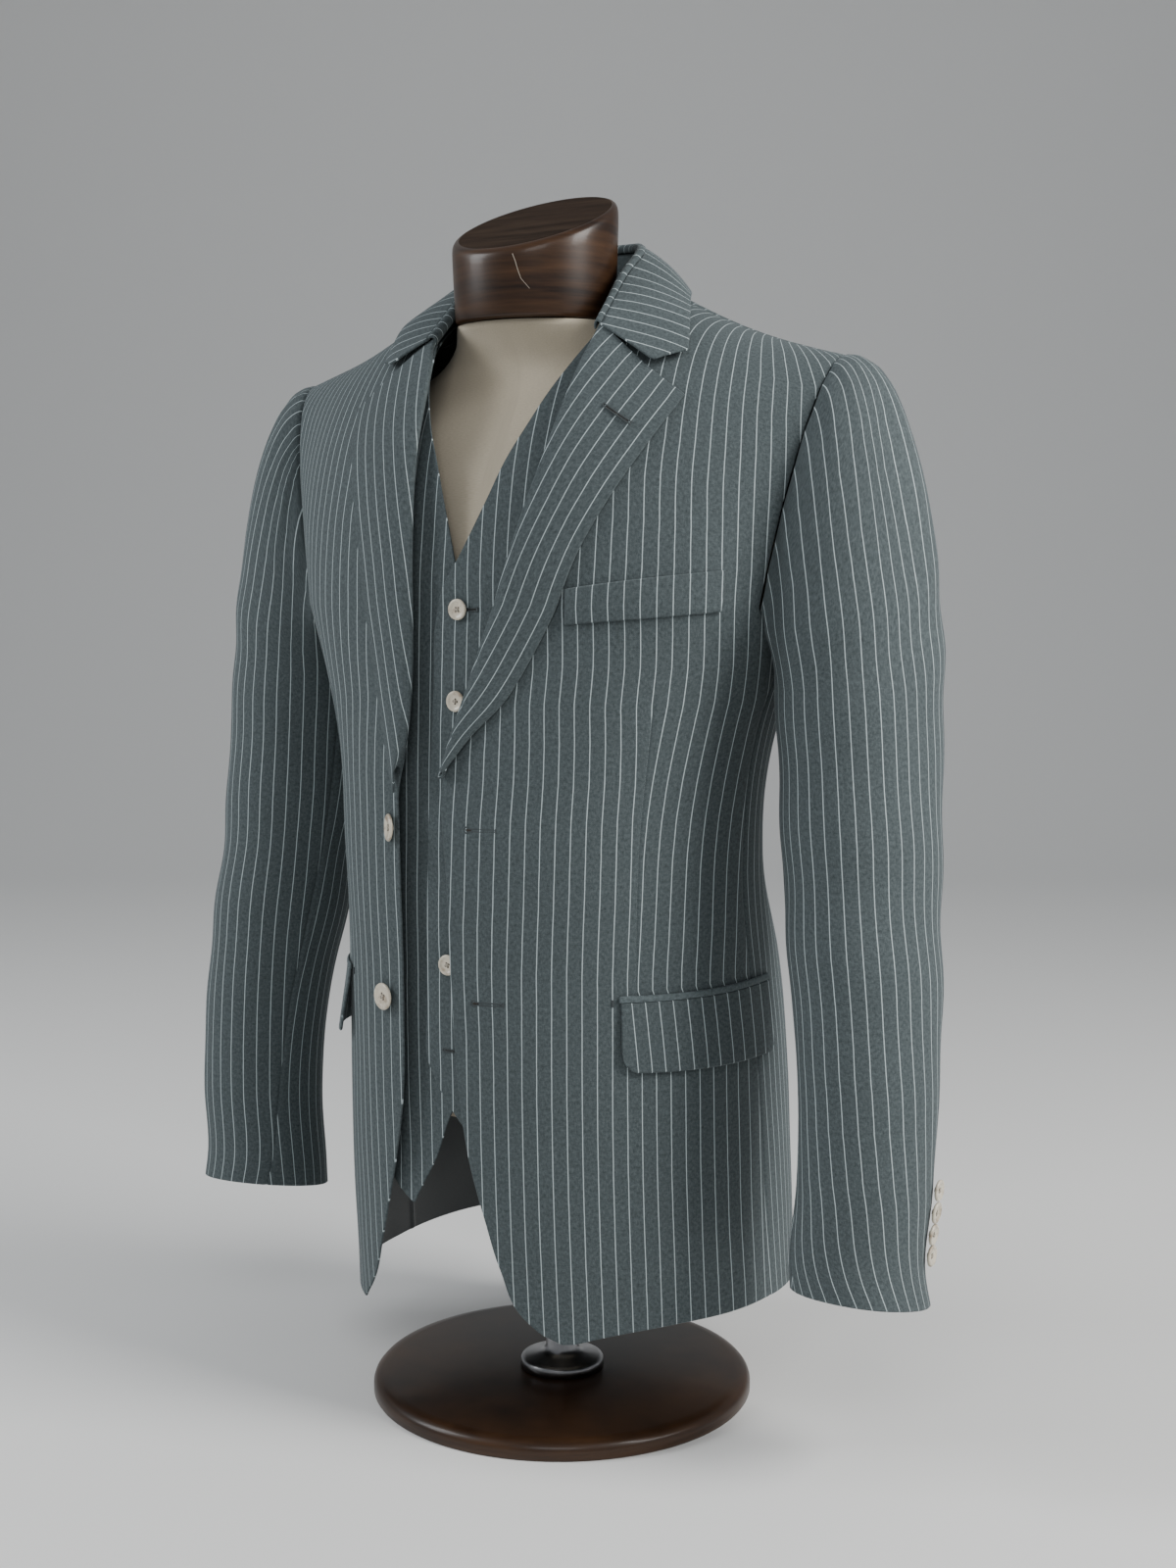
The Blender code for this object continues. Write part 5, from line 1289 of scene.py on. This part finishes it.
# ---------------------------------------------------------------- waistcoat
def make_waistcoat():
    for side, mirror in (("L", False), ("R", True)):
        col = 1 if side == "L" else 2
        v = spread(0.66, 0.0050, (True, True))
        u = spread(0.22, 0.0050, (True, True))[None, :]
        top = RIDGE_H - 0.002
        dip = CHEST_Z - WC_UNDERARM_DROP
        s0, s1 = np.full(len(v), 0.0), np.full(len(v), 0.2)
        for _ in range(8):
            s = s0[:, None] + (s1 - s0)[:, None] * u
            low = column(WC_HEM, col, s[0])[None, :]
            fade = np.clip(1 - v / 0.34, 0, 1)[:, None] ** 1.5
            base = low.min()
            h = base + v[:, None] * (top - base) + (low - base) * fade
            s0 = column(WC_FRONT_EDGE, col, h[:, 0])
            seam = column(WC_SIDE_SEAM, 1, h[:, -1])
            climb = np.clip((h[:, -1] - dip) / (CHEST_Z + 0.03 - dip), 0, 1)
            s1 = seam + (WC_ARM_FRONT - seam) * np.sin(climb * math.pi / 2) ** 0.8 - 0.0002
        away = np.zeros_like(s)
        if side == "R":
            away -= WC_LAP_DROP * np.clip((0.060 - s) / 0.028, 0, 1) * np.clip((0.70 - h) / 0.06, 0, 1)
        P = WAISTCOAT.out(s, h, away)
        N = grid_normals(P)
        pull = np.zeros_like(s)
        for bs, bh in WC_BUTTONS:
            # a faint drag from each button
            pull += np.exp(-(((h - bh) / 0.010) ** 2)) * np.exp(-np.clip(s - bs, 0, 1) / 0.035)
        P = P + N * (ripple(P, 0.0006, 0.05, 9.0) - 0.0007 * pull * (side == "L"))[..., None] * smooth01((s - s0[:, None]) / 0.01)[..., None]
        U = np.where(h <= CHEST_Z, s, 0.0)
        up = h > CHEST_Z
        U[up] = row_arc(WAISTCOAT, s[up], h[up], 0.060, 10) + 0.060
        cloth(f"waistcoat_front_{side}_cloth", P, np.stack([U + 0.0093, h], -1), f"waistcoat_front_{side}", [SUIT, WC_BACK], mirror, THIN_CLOTH)
    v = spread(0.60, 0.0060, (True, True))
    u = spread(0.45, 0.0060, (True, True))[None, :]
    low = WC_HEM[-1][1]
    h = low + v * (RIDGE_H - 0.002 - low)
    seam = column(WC_SIDE_SEAM, 1, h)
    dip = CHEST_Z - WC_UNDERARM_DROP
    climb = np.clip((h - dip) / (CHEST_Z + 0.03 - dip), 0, 1)
    s0 = seam + (WC_ARM_BACK - seam) * np.sin(climb * math.pi / 2) ** 0.8 + 0.0002
    length = half_length(WAISTCOAT_RINGS, np.minimum(h, CHEST_Z))
    s1 = 2 * length - s0
    s = s0[:, None] + (s1 - s0)[:, None] * u
    P = WAISTCOAT.out(s, h[:, None] + 0 * s, np.zeros_like(s))
    cloth("waistcoat_back_cloth", P, np.stack([s, h[:, None] + 0 * s], -1), "waistcoat_back", [WC_BACK], False, THIN_CLOTH)


# ---------------------------------------------------------------- buttons, buttonholes, tacks
def frame_at(at, normal, up=(0, 0, 1)):
    n = np.array(normal, float)
    n /= np.linalg.norm(n)
    x = np.cross(np.array(up, float), n)
    x /= np.linalg.norm(x)
    return np.array(at, float), x, np.cross(n, x), n


def lathe(profile, steps):
    """Closed turned solid: vertices and faces from (radius, height), top centre to bottom centre."""
    rings = [p for p in profile if p[0] > 1e-7]
    angle = np.linspace(0, 2 * math.pi, steps, endpoint=False)
    verts = [(0, 0, profile[0][1])]
    for r, z in rings:
        verts += [(r * math.cos(a), r * math.sin(a), z) for a in angle]
    verts.append((0, 0, profile[-1][1]))
    faces = []
    for k in range(steps):
        faces.append((0, 1 + k, 1 + (k + 1) % steps))
    for i in range(len(rings) - 1):
        a, b = 1 + i * steps, 1 + (i + 1) * steps
        for k in range(steps):
            j = (k + 1) % steps
            faces.append((a + k, b + k, b + j, a + j))
    a = 1 + (len(rings) - 1) * steps
    for k in range(steps):
        faces.append((len(verts) - 1, a + (k + 1) % steps, a + k))
    return np.array(verts, float), faces


def tube(path, radius, sides=8, closed=False, flat=1.0, up=None):
    path = np.array(path, float)
    n = len(path)
    ahead = np.roll(path, -1, 0) - np.roll(path, 1, 0) if closed else np.gradient(path, axis=0)
    ahead /= np.linalg.norm(ahead, axis=1)[:, None]
    up = np.broadcast_to(np.array([0, 0, 1.0]) if up is None else np.asarray(up, float), (n, 3))
    x = np.cross(ahead, up)
    x /= np.linalg.norm(x, axis=1)[:, None]
    y = np.cross(x, ahead)
    a = np.linspace(0, 2 * math.pi, sides, endpoint=False)
    radius = np.broadcast_to(radius, (n,))
    ring = path[:, None] + radius[:, None, None] * (np.cos(a)[None, :, None] * x[:, None] + flat * np.sin(a)[None, :, None] * y[:, None])
    verts = ring.reshape(-1, 3)
    faces = []
    last = n if closed else n - 1
    for i in range(last):
        for k in range(sides):
            j, m = (k + 1) % sides, (i + 1) % n
            faces.append((i * sides + k, i * sides + j, m * sides + j, m * sides + k))
    if not closed:
        faces.append(tuple(range(sides))[::-1])
        faces.append(tuple((n - 1) * sides + k for k in range(sides)))
    return verts, faces


def join(parts):
    verts, faces, mats = [], [], []
    base = 0
    for v, f, m in parts:
        verts.append(v)
        faces += [tuple(base + k for k in face) for face in f]
        mats += [m] * len(f)
        base += len(v)
    return np.concatenate(verts), faces, mats


def sewn_button(name, node, radius, thick, at, normal, spin=0.3, gap=0.0004):
    profile = [
        (0, 0.62 * thick), (0.30 * radius, 0.62 * thick), (0.56 * radius, 0.66 * thick), (0.66 * radius, 0.78 * thick),
        (0.74 * radius, 0.95 * thick), (0.82 * radius, thick), (0.92 * radius, 0.97 * thick), (0.98 * radius, 0.80 * thick),
        (radius, 0.55 * thick), (0.97 * radius, 0.28 * thick), (0.86 * radius, 0.08 * thick), (0.6 * radius, 0), (0, 0),
    ]
    parts = [(*lathe(profile, 48), 0)]
    hole = 0.20 * radius
    # the four thread holes are not cut through: dark discs of painted shade stand in for them
    for k in range(4):
        a = spin + math.pi / 4 + k * math.pi / 2
        v, f = lathe([(0, 0.00006), (0.105 * radius, 0.00006), (0.105 * radius, -0.0002), (0, -0.0002)], 16)
        parts.append((v + (hole * math.cos(a), hole * math.sin(a), 0.62 * thick), f, 1))
    for k in range(2):
        a = spin + math.pi / 4 + k * math.pi / 2
        b = a + math.pi
        ends = [np.array([hole * math.cos(c), hole * math.sin(c), 0.60 * thick]) for c in (a, b)]
        line = [ends[0] + (ends[1] - ends[0]) * q + np.array([0, 0, (0.00042 + 0.00012 * k) * math.sin(math.pi * q) ** 0.5]) for q in np.linspace(0, 1, 9)]
        parts.append((*tube(line, 0.055 * radius, 8, up=(0.01, 0.02, 1)), 2))
    shank, f = lathe([(0, 0), (0.22 * radius, 0), (0.25 * radius, -0.0016), (0, -0.0016)], 12)
    parts.append((shank, f, 2))
    verts, faces, mats = join(parts)
    o, x, y, n = frame_at(at, normal)
    verts = o + verts[:, :1] * x + verts[:, 1:2] * y + (verts[:, 2:] + gap) * n
    obj = mesh_object(name, verts, faces, [HORN, HOLE_SHADE, THREAD_PALE], None, mats)
    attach(obj, "root")
    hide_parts(node)
    mesh = obj.data
    return obj


CUFF_BUTTON_TURN = math.radians(13)  # the photo shows them turned forwards on their threads


def make_buttons():
    flip = np.array([-1, 1, 1])
    for k, (s, h) in enumerate(FRONT_BUTTONS):
        if k == 0:
            s -= 0.003
        at = JACKET(np.array([s]), np.array([h]))[0]
        out = JACKET.out(np.array([s]), np.array([h]), 0.01)[0] - at
        out /= np.linalg.norm(out)
        face = out * flip
        if k == 0:
            # this one hangs turned on its thread
            face = face * math.cos(math.radians(33)) + np.array([-1.0, 0, 0]) * math.sin(math.radians(33))
        sewn_button(f"front_button_{k + 1}_sewn", f"front_button_{k + 1}", BUTTON_FRONT_R, BUTTON_T, (at + out * 0.0012) * flip, face, 0.2 + k, gap=0.0012)
    for side, sign in (("L", 1), ("R", -1)):
        f = np.array([sign, 1, 1])
        for k in range(4):
            at, normal = cuff_seat(CUFF_BUTTON_TOP - CUFF_BUTTON_STEP * k, CUFF_BUTTON_ANGLE)
            c, sn = math.cos(CUFF_BUTTON_TURN), math.sin(CUFF_BUTTON_TURN)
            turned = np.array([normal[0] * c + normal[1] * sn, -normal[0] * sn + normal[1] * c, normal[2]])
            sewn_button(f"cuff_button_{side}{k + 1}_sewn", f"cuff_button_{side}{k + 1}", BUTTON_CUFF_R, BUTTON_T * 0.9, (at + normal * 0.0028) * f, turned * f, 0.5 * k)
    for k, (s, h) in enumerate(WC_BUTTONS):
        at = WAISTCOAT(np.array([s + (0, 0, 0, 0.008, 0.002)[k]]), np.array([h]))[0]
        sewn_button(f"waistcoat_button_{k + 1}_sewn", f"waistcoat_button_{k + 1}", BUTTON_WC_R, BUTTON_T * 0.8, at + np.array([0, -0.0008, 0]), (0, -1, 0), 0.7 * k, gap=0.0)


def on_surface(surface, flat, s, h, away, tilt=0.0):
    """Points of a small flat drawing (across, up, out) laid on a surface at s, h."""
    c, sn = math.cos(tilt), math.sin(tilt)
    x = flat[:, 0] * c - flat[:, 1] * sn
    y = flat[:, 0] * sn + flat[:, 1] * c
    return surface.out(s + x, h + y, away + flat[:, 2])


def stadium(length, half, n=14, eye=0.0):
    """Outline of a buttonhole, its eye at the left end."""
    pts = []
    right = length - half
    for q in np.linspace(-math.pi / 2, math.pi / 2, n):
        pts.append((right + half * math.cos(q), half * math.sin(q), 0))
    for q in np.linspace(1, 0, n)[1:-1]:
        pts.append((2.2 * max(eye, half) + (right - 2.2 * max(eye, half)) * q, half, 0))
    r = max(eye, half)
    start = math.asin(min(1, half / r)) if r > half else math.pi / 2
    for q in np.linspace(start, 2 * math.pi - start, n + 6):
        pts.append((r + r * math.cos(q) if r > half else half + half * math.cos(q), r * math.sin(q), 0))
    for q in np.linspace(0, 1, n)[1:-1]:
        pts.append((2.2 * r + (right - 2.2 * r) * q, -half, 0))
    return np.array(pts)


def buttonhole(name, surface, s, h, length, away, tilt=0.0, eye=0.0, mirror=False, holder=None):
    ring = stadium(length, 0.0009, 14, eye)
    dense = []
    for a, b in zip(ring, np.roll(ring, -1, 0)):
        m = max(1, int(np.linalg.norm(b - a) / 0.00045))
        dense += [a + (b - a) * k / m for k in range(m)]
    dense = np.array(dense)
    thick = 0.00050 * (1 + 0.16 * np.sin(np.arange(len(dense)) * 2.1))
    path = on_surface(surface, dense, s, h, away + 0.0002, tilt)
    probe = on_surface(surface, dense + (0, 0, 0.001), s, h, away + 0.0002, tilt) - path
    v1, f1 = tube(path, thick, 8, True, 0.75, probe / np.linalg.norm(probe, axis=1)[:, None])
    # the slit and its eye: a dark tube of painted shade along the cut
    slit = np.stack([np.linspace(0.0016, length - 0.0016, 9), np.zeros(9), np.zeros(9)], 1)
    p2 = on_surface(surface, slit, s, h, away + 0.0001, tilt)
    q2 = on_surface(surface, slit + (0, 0, 0.001), s, h, away + 0.0001, tilt) - p2
    wide = np.full(9, 0.00030)
    if eye:
        wide[:2] = (0.0010, 0.0011)
    v2, f2 = tube(p2, wide, 6, False, 0.5, q2 / np.linalg.norm(q2, axis=1)[:, None])
    bar = np.stack([np.full(7, length + 0.0004), np.linspace(-0.0017, 0.0017, 7), np.full(7, 0.0002)], 1)
    p3 = on_surface(surface, bar, s, h, away + 0.0002, tilt)
    q3 = on_surface(surface, bar + (0, 0, 0.001), s, h, away + 0.0002, tilt) - p3
    v3, f3 = tube(p3, 0.00052, 8, False, 0.9, q3 / np.linalg.norm(q3, axis=1)[:, None])
    verts, faces, mats = join([(v1, f1, 0), (v2, f2, 1), (v3, f3, 0)])
    if mirror:
        verts = verts * (-1, 1, 1)
        faces = [f[::-1] for f in faces]
    obj = mesh_object(name, verts, faces, [THREAD, HOLE_SHADE], None, mats)
    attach(obj, "root")
    return obj


def thread_line(name, points, out, radius=0.00028, dash=0.0021, gap=0.0014, material=None):
    """A row of short stitches along a line of points."""
    points = np.array(points, float)
    a = np.concatenate([[0], np.cumsum(np.linalg.norm(np.diff(points, axis=0), axis=1))])
    parts = []
    at = gap / 2
    while at + dash < a[-1]:
        q = np.linspace(at, at + dash, 5)
        line = np.stack([np.interp(q, a, points[:, k]) for k in range(3)], 1)
        side = np.stack([np.interp(q, a, out[:, k]) for k in range(3)], 1)
        line = line + side * (np.array([-0.0002, 0.00010, 0.00016, 0.00010, -0.0002]))[:, None]
        parts.append((*tube(line, radius, 6, False, 0.8, side), 0))
        at += dash + gap
    verts, faces, mats = join(parts)
    obj = mesh_object(name, verts, faces, [material or THREAD], None, mats)
    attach(obj, "root")
    return obj


def make_holes():
    buttonhole("buttonhole_front_1", JACKET, 0.0139, 0.4476, 0.0245, 0.0, 0.02, 0.0021)
    buttonhole("buttonhole_front_2", JACKET, 0.0190, 0.3270, 0.0245, 0.0, 0.02, 0.0021)
    buttonhole("buttonhole_lapel", JACKET, 0.1012, 0.7131, 0.0200, 0.0058, -0.34, 0.0)
    for k, (s, h) in enumerate(WC_BUTTONS):
        buttonhole(f"buttonhole_waistcoat_{k + 1}", WAISTCOAT, s + 0.0035, h, 0.0120, 0.0, 0.0, 0.0)
    buttonhole("buttonhole_waistcoat_6", WAISTCOAT, -0.0120, 0.2885, 0.0165, 0.0, 0.0, 0.0)
    # bar tacks at the front ends of the pockets
    for side, mirror in (("L", False), ("R", True)):
        bar = np.stack([np.zeros(9), np.linspace(-0.0024, 0.0024, 9), np.zeros(9)], 1)
        p = on_surface(JACKET, bar, FLAP["s0"] - 0.0062, 0.3305, 0.0004)
        q = on_surface(JACKET, bar + (0, 0, 0.001), FLAP["s0"] - 0.0062, 0.3305, 0.0004) - p
        v, f = tube(p, 0.00075, 8, False, 0.7, q / np.linalg.norm(q, axis=1)[:, None])
        if mirror:
            v, f = v * (-1, 1, 1), [g[::-1] for g in f]
        obj = mesh_object(f"pocket_tack_{side}", v, f, [THREAD])
        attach(obj, "root")


# ---------------------------------------------------------------- dress form
def loft_piece(name, node, rings, materials, caps=True, uvs=True, top_material=None, cap_rings=0):
    rings = np.array(rings, float)
    m, n = rings.shape[:2]
    verts = rings.reshape(-1, 3)
    faces = []
    mats = []
    for i in range(m - 1):
        for k in range(n):
            j = (k + 1) % n
            faces.append((i * n + j, i * n + k, (i + 1) * n + k, (i + 1) * n + j))
            mats.append(1 if top_material and i >= m - 1 - cap_rings else 0)
    low, high = verts[:n].mean(0), verts[-n:].mean(0)
    verts = np.vstack([verts, low, high])
    for k in range(n):
        j = (k + 1) % n
        faces.append((m * n, k, j))
        mats.append(0)
        faces.append((m * n + 1, (m - 1) * n + j, (m - 1) * n + k))
        mats.append(1 if top_material else 0)
    a = np.linspace(0, 1, n, endpoint=False)
    uv = np.stack(np.meshgrid(a * 0.8, np.linspace(0, 0.6, m)), -1).reshape(-1, 2)
    uv = np.vstack([uv, [0, 0], [0, 0.6]])
    obj = mesh_object(name, verts, faces, materials, uv, mats)
    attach(obj, "root")
    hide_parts(node)
    return obj


def make_form():
    heights = [r[0] for r in FORM_RINGS]
    fine = np.unique(np.round(np.concatenate([np.linspace(heights[0], heights[1], 5), np.linspace(heights[1], heights[-1], 130)]), 5))
    obj = loft_piece("form_torso_jersey", "form_torso", [form_ring(z, 128) for z in fine], [JERSEY])
    # the wooden neck block: rings up its side, then rings across its top
    rings = []
    shares = [(0.0, 0.948), (0.02, 0.958), (0.05, 0.964), (0.45, 0.985), (0.80, 0.999), (0.88, 1.0), (0.925, 0.997), (0.955, 0.988), (0.978, 0.972), (0.992, 0.950), (1.0, 0.920)]
    for share, wide in shares:
        ring = []
        for k in range(96):
            t = 2 * math.pi * k / 96
            dy = -NECK_RY * wide * math.cos(t)
            top = NECK_TOP_Z + dy * math.tan(NECK_TILT)
            ring.append((-NECK_RX * wide * math.sin(t), NECK_Y + dy, NECK_FOOT_Z + (top - NECK_FOOT_Z) * share))
        rings.append(ring)
    for wide in (0.88, 0.7, 0.45, 0.2):
        ring = []
        for k in range(96):
            t = 2 * math.pi * k / 96
            dy = -NECK_RY * wide * math.cos(t)
            ring.append((-NECK_RX * wide * math.sin(t), NECK_Y + dy, NECK_TOP_Z + dy * math.tan(NECK_TILT) + 0.00008))
        rings.append(ring)
    loft_piece("form_neck_block", "form_neck", rings, [WOOD, WOOD_TOP], top_material=True, cap_rings=4)
    # a painted highlight: a thin pale streak down the block's front
    pts = [(0.30, 0.97), (0.33, 0.86), (0.36, 0.72), (0.40, 0.56), (0.50, 0.40)]
    line, nrm = [], []
    for q in np.linspace(0, 1, 24):
        a = float(np.interp(q, np.linspace(0, 1, 5), [p[0] for p in pts]))
        sh = float(np.interp(q, np.linspace(0, 1, 5), [p[1] for p in pts])) * 0.93
        wide = np.interp(sh, [x[0] for x in shares], [x[1] for x in shares])
        dy = -NECK_RY * wide * math.cos(a)
        top = NECK_TOP_Z + dy * math.tan(NECK_TILT)
        p = np.array([NECK_RX * wide * math.sin(a), NECK_Y + dy, NECK_FOOT_Z + (top - NECK_FOOT_Z) * sh])
        line.append(p + 0.00004 * math.sin(9 * q))
        nrm.append((math.sin(a), -math.cos(a), 0.05))
    v, f = tube(line, 0.00028 * (1.1 - 0.5 * np.linspace(0, 1, 24)), 6, False, 0.4, np.array(nrm))
    painted_streak = mesh_object("neck_painted_highlight", v, f, [NECK_HIGHLIGHT])
    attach(painted_streak, "root")
    v, f = lathe([(0, BASE_T), (BASE_R - 0.012, BASE_T), (BASE_R - 0.007, BASE_T - 0.0006), (BASE_R - 0.003, BASE_T - 0.002), (BASE_R - 0.0008, BASE_T - 0.0045), (BASE_R, BASE_T - 0.007), (BASE_R, 0.0012), (BASE_R - 0.0008, 0), (0, 0)], 144)
    base = mesh_object("form_base_wood", v, f, [WOOD])
    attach(base, "root")
    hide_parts("form_base")
    t, b = TORSO_FOOT_Z, BASE_T
    v, f = lathe([(0, t - 0.0004), (0.0332, t - 0.0004), (0.034, t - 0.0012), (0.034, t - 0.0045), (0.0332, t - 0.0052), (0.018, t - 0.0056), (0.0140, t - 0.0075), (POST_R, t - 0.0095),
                  (POST_R, b + 0.016), (0.0142, b + 0.0128), (0.018, b + 0.0108), (0.028, b + 0.0092), (0.0310, b + 0.0080), (0.032, b + 0.0062), (0.032, b + 0.0006), (0, b + 0.0004)], 72)
    post = mesh_object("form_post_steel", v, f, [STEEL])
    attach(post, "root")
    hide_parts("form_post")


# ---------------------------------------------------------------- scene
def make_stage():
    # the floor runs back, curves up and goes on as a wall behind the object
    lines = [(-7.0, 0.0), (2.6, 0.0)]
    lines += [(2.6 + 2.2 * math.sin(a), 2.2 - 2.2 * math.cos(a)) for a in np.linspace(0, math.pi / 2, 25)[1:]]
    lines += [(4.8, 7.0)]
    back = np.array([-math.sin(CAM_AZ), math.cos(CAM_AZ), 0])
    side = np.array([math.cos(CAM_AZ), math.sin(CAM_AZ), 0])
    verts = np.array([back * d + side * w + (0, 0, z) for d, z in lines for w in (-9.0, 9.0)])
    floor = mesh_object("floor", verts, [(2 * k, 2 * k + 1, 2 * k + 3, 2 * k + 2) for k in range(len(lines) - 1)], [])
    m, tree, shader = node_material("floor_pale")
    shader.inputs["Base Color"].default_value = (0.80, 0.80, 0.79, 1)
    shader.inputs["Roughness"].default_value = 0.75
    shader.inputs["Specular IOR Level"].default_value = 0.2
    floor.data.materials.append(m)
    world = bpy.data.worlds.new("studio")
    bpy.context.scene.world = world
    world.use_nodes = True
    world.node_tree.nodes["Background"].inputs["Color"].default_value = (0.86, 0.90, 0.95, 1)
    world.node_tree.nodes["Background"].inputs["Strength"].default_value = WORLD_STRENGTH

    def area(name, at, look, size, power, colour=(1, 1, 1)):
        data = bpy.data.lights.new(name, "AREA")
        data.shape = "RECTANGLE"
        data.size, data.size_y = size
        data.energy = power
        data.color = colour
        obj = bpy.data.objects.new(name, data)
        bpy.context.scene.collection.objects.link(obj)
        from mathutils import Vector
        obj.location = at
        obj.rotation_euler = (Vector(look) - Vector(at)).to_track_quat("-Z", "Y").to_euler()
        return obj

    for name, at, look, size, power, colour in LIGHTS:
        area(name, at, look, size, power, colour)


WORLD_STRENGTH = 0.30
# name, place, look at, size, watts, colour
LIGHTS = [
    ("right", (1.9, 0.1, 1.75), (0.05, 0.0, 0.72), (0.9, 1.3), 62, (1.0, 0.99, 0.97)),
    ("left", (-1.70, -1.20, 1.65), (0.0, 0.0, 0.68), (0.9, 1.3), 34, (0.96, 0.98, 1.0)),
    ("front", (1.2, -2.2, 2.1), (0.0, 0.0, 0.70), (1.3, 1.1), 17, (1.0, 1.0, 1.0)),
]
CAM_AZ, CAM_EL, CAM_F, CAM_D, CAM_X, CAM_Z = math.radians(31.63), math.radians(5.951), 2095.96, 1.5351, 0.020, 0.6257


def make_camera():
    from mathutils import Matrix
    R = np.array([math.cos(CAM_AZ), math.sin(CAM_AZ), 0])
    F = np.array([-math.sin(CAM_AZ) * math.cos(CAM_EL), math.cos(CAM_AZ) * math.cos(CAM_EL), -math.sin(CAM_EL)])
    U = np.cross(R, F)
    C = np.array([CAM_D * math.sin(CAM_AZ), -CAM_D * math.cos(CAM_AZ), CAM_Z]) + CAM_X * R
    data = bpy.data.cameras.new("camera")
    cam = bpy.data.objects.new("camera", data)
    bpy.context.scene.collection.objects.link(cam)
    data.sensor_width = 36
    data.lens = CAM_F / 1600 * 36
    data.clip_start = 0.05
    M = np.eye(4)
    M[:3, 0], M[:3, 1], M[:3, 2], M[:3, 3] = R, U, -F, C
    cam.matrix_world = Matrix(M.tolist())
    bpy.context.scene.camera = cam


make_form()
make_fronts()
make_sides_backs()
make_lapels()
make_collar()
make_sleeves()
make_pockets()
make_waistcoat()
make_buttons()
make_holes()
make_stage()
make_camera()
bpy.context.scene.view_settings.view_transform = "AgX"
bpy.context.scene.view_settings.look = "None"
bpy.context.view_layer.update()
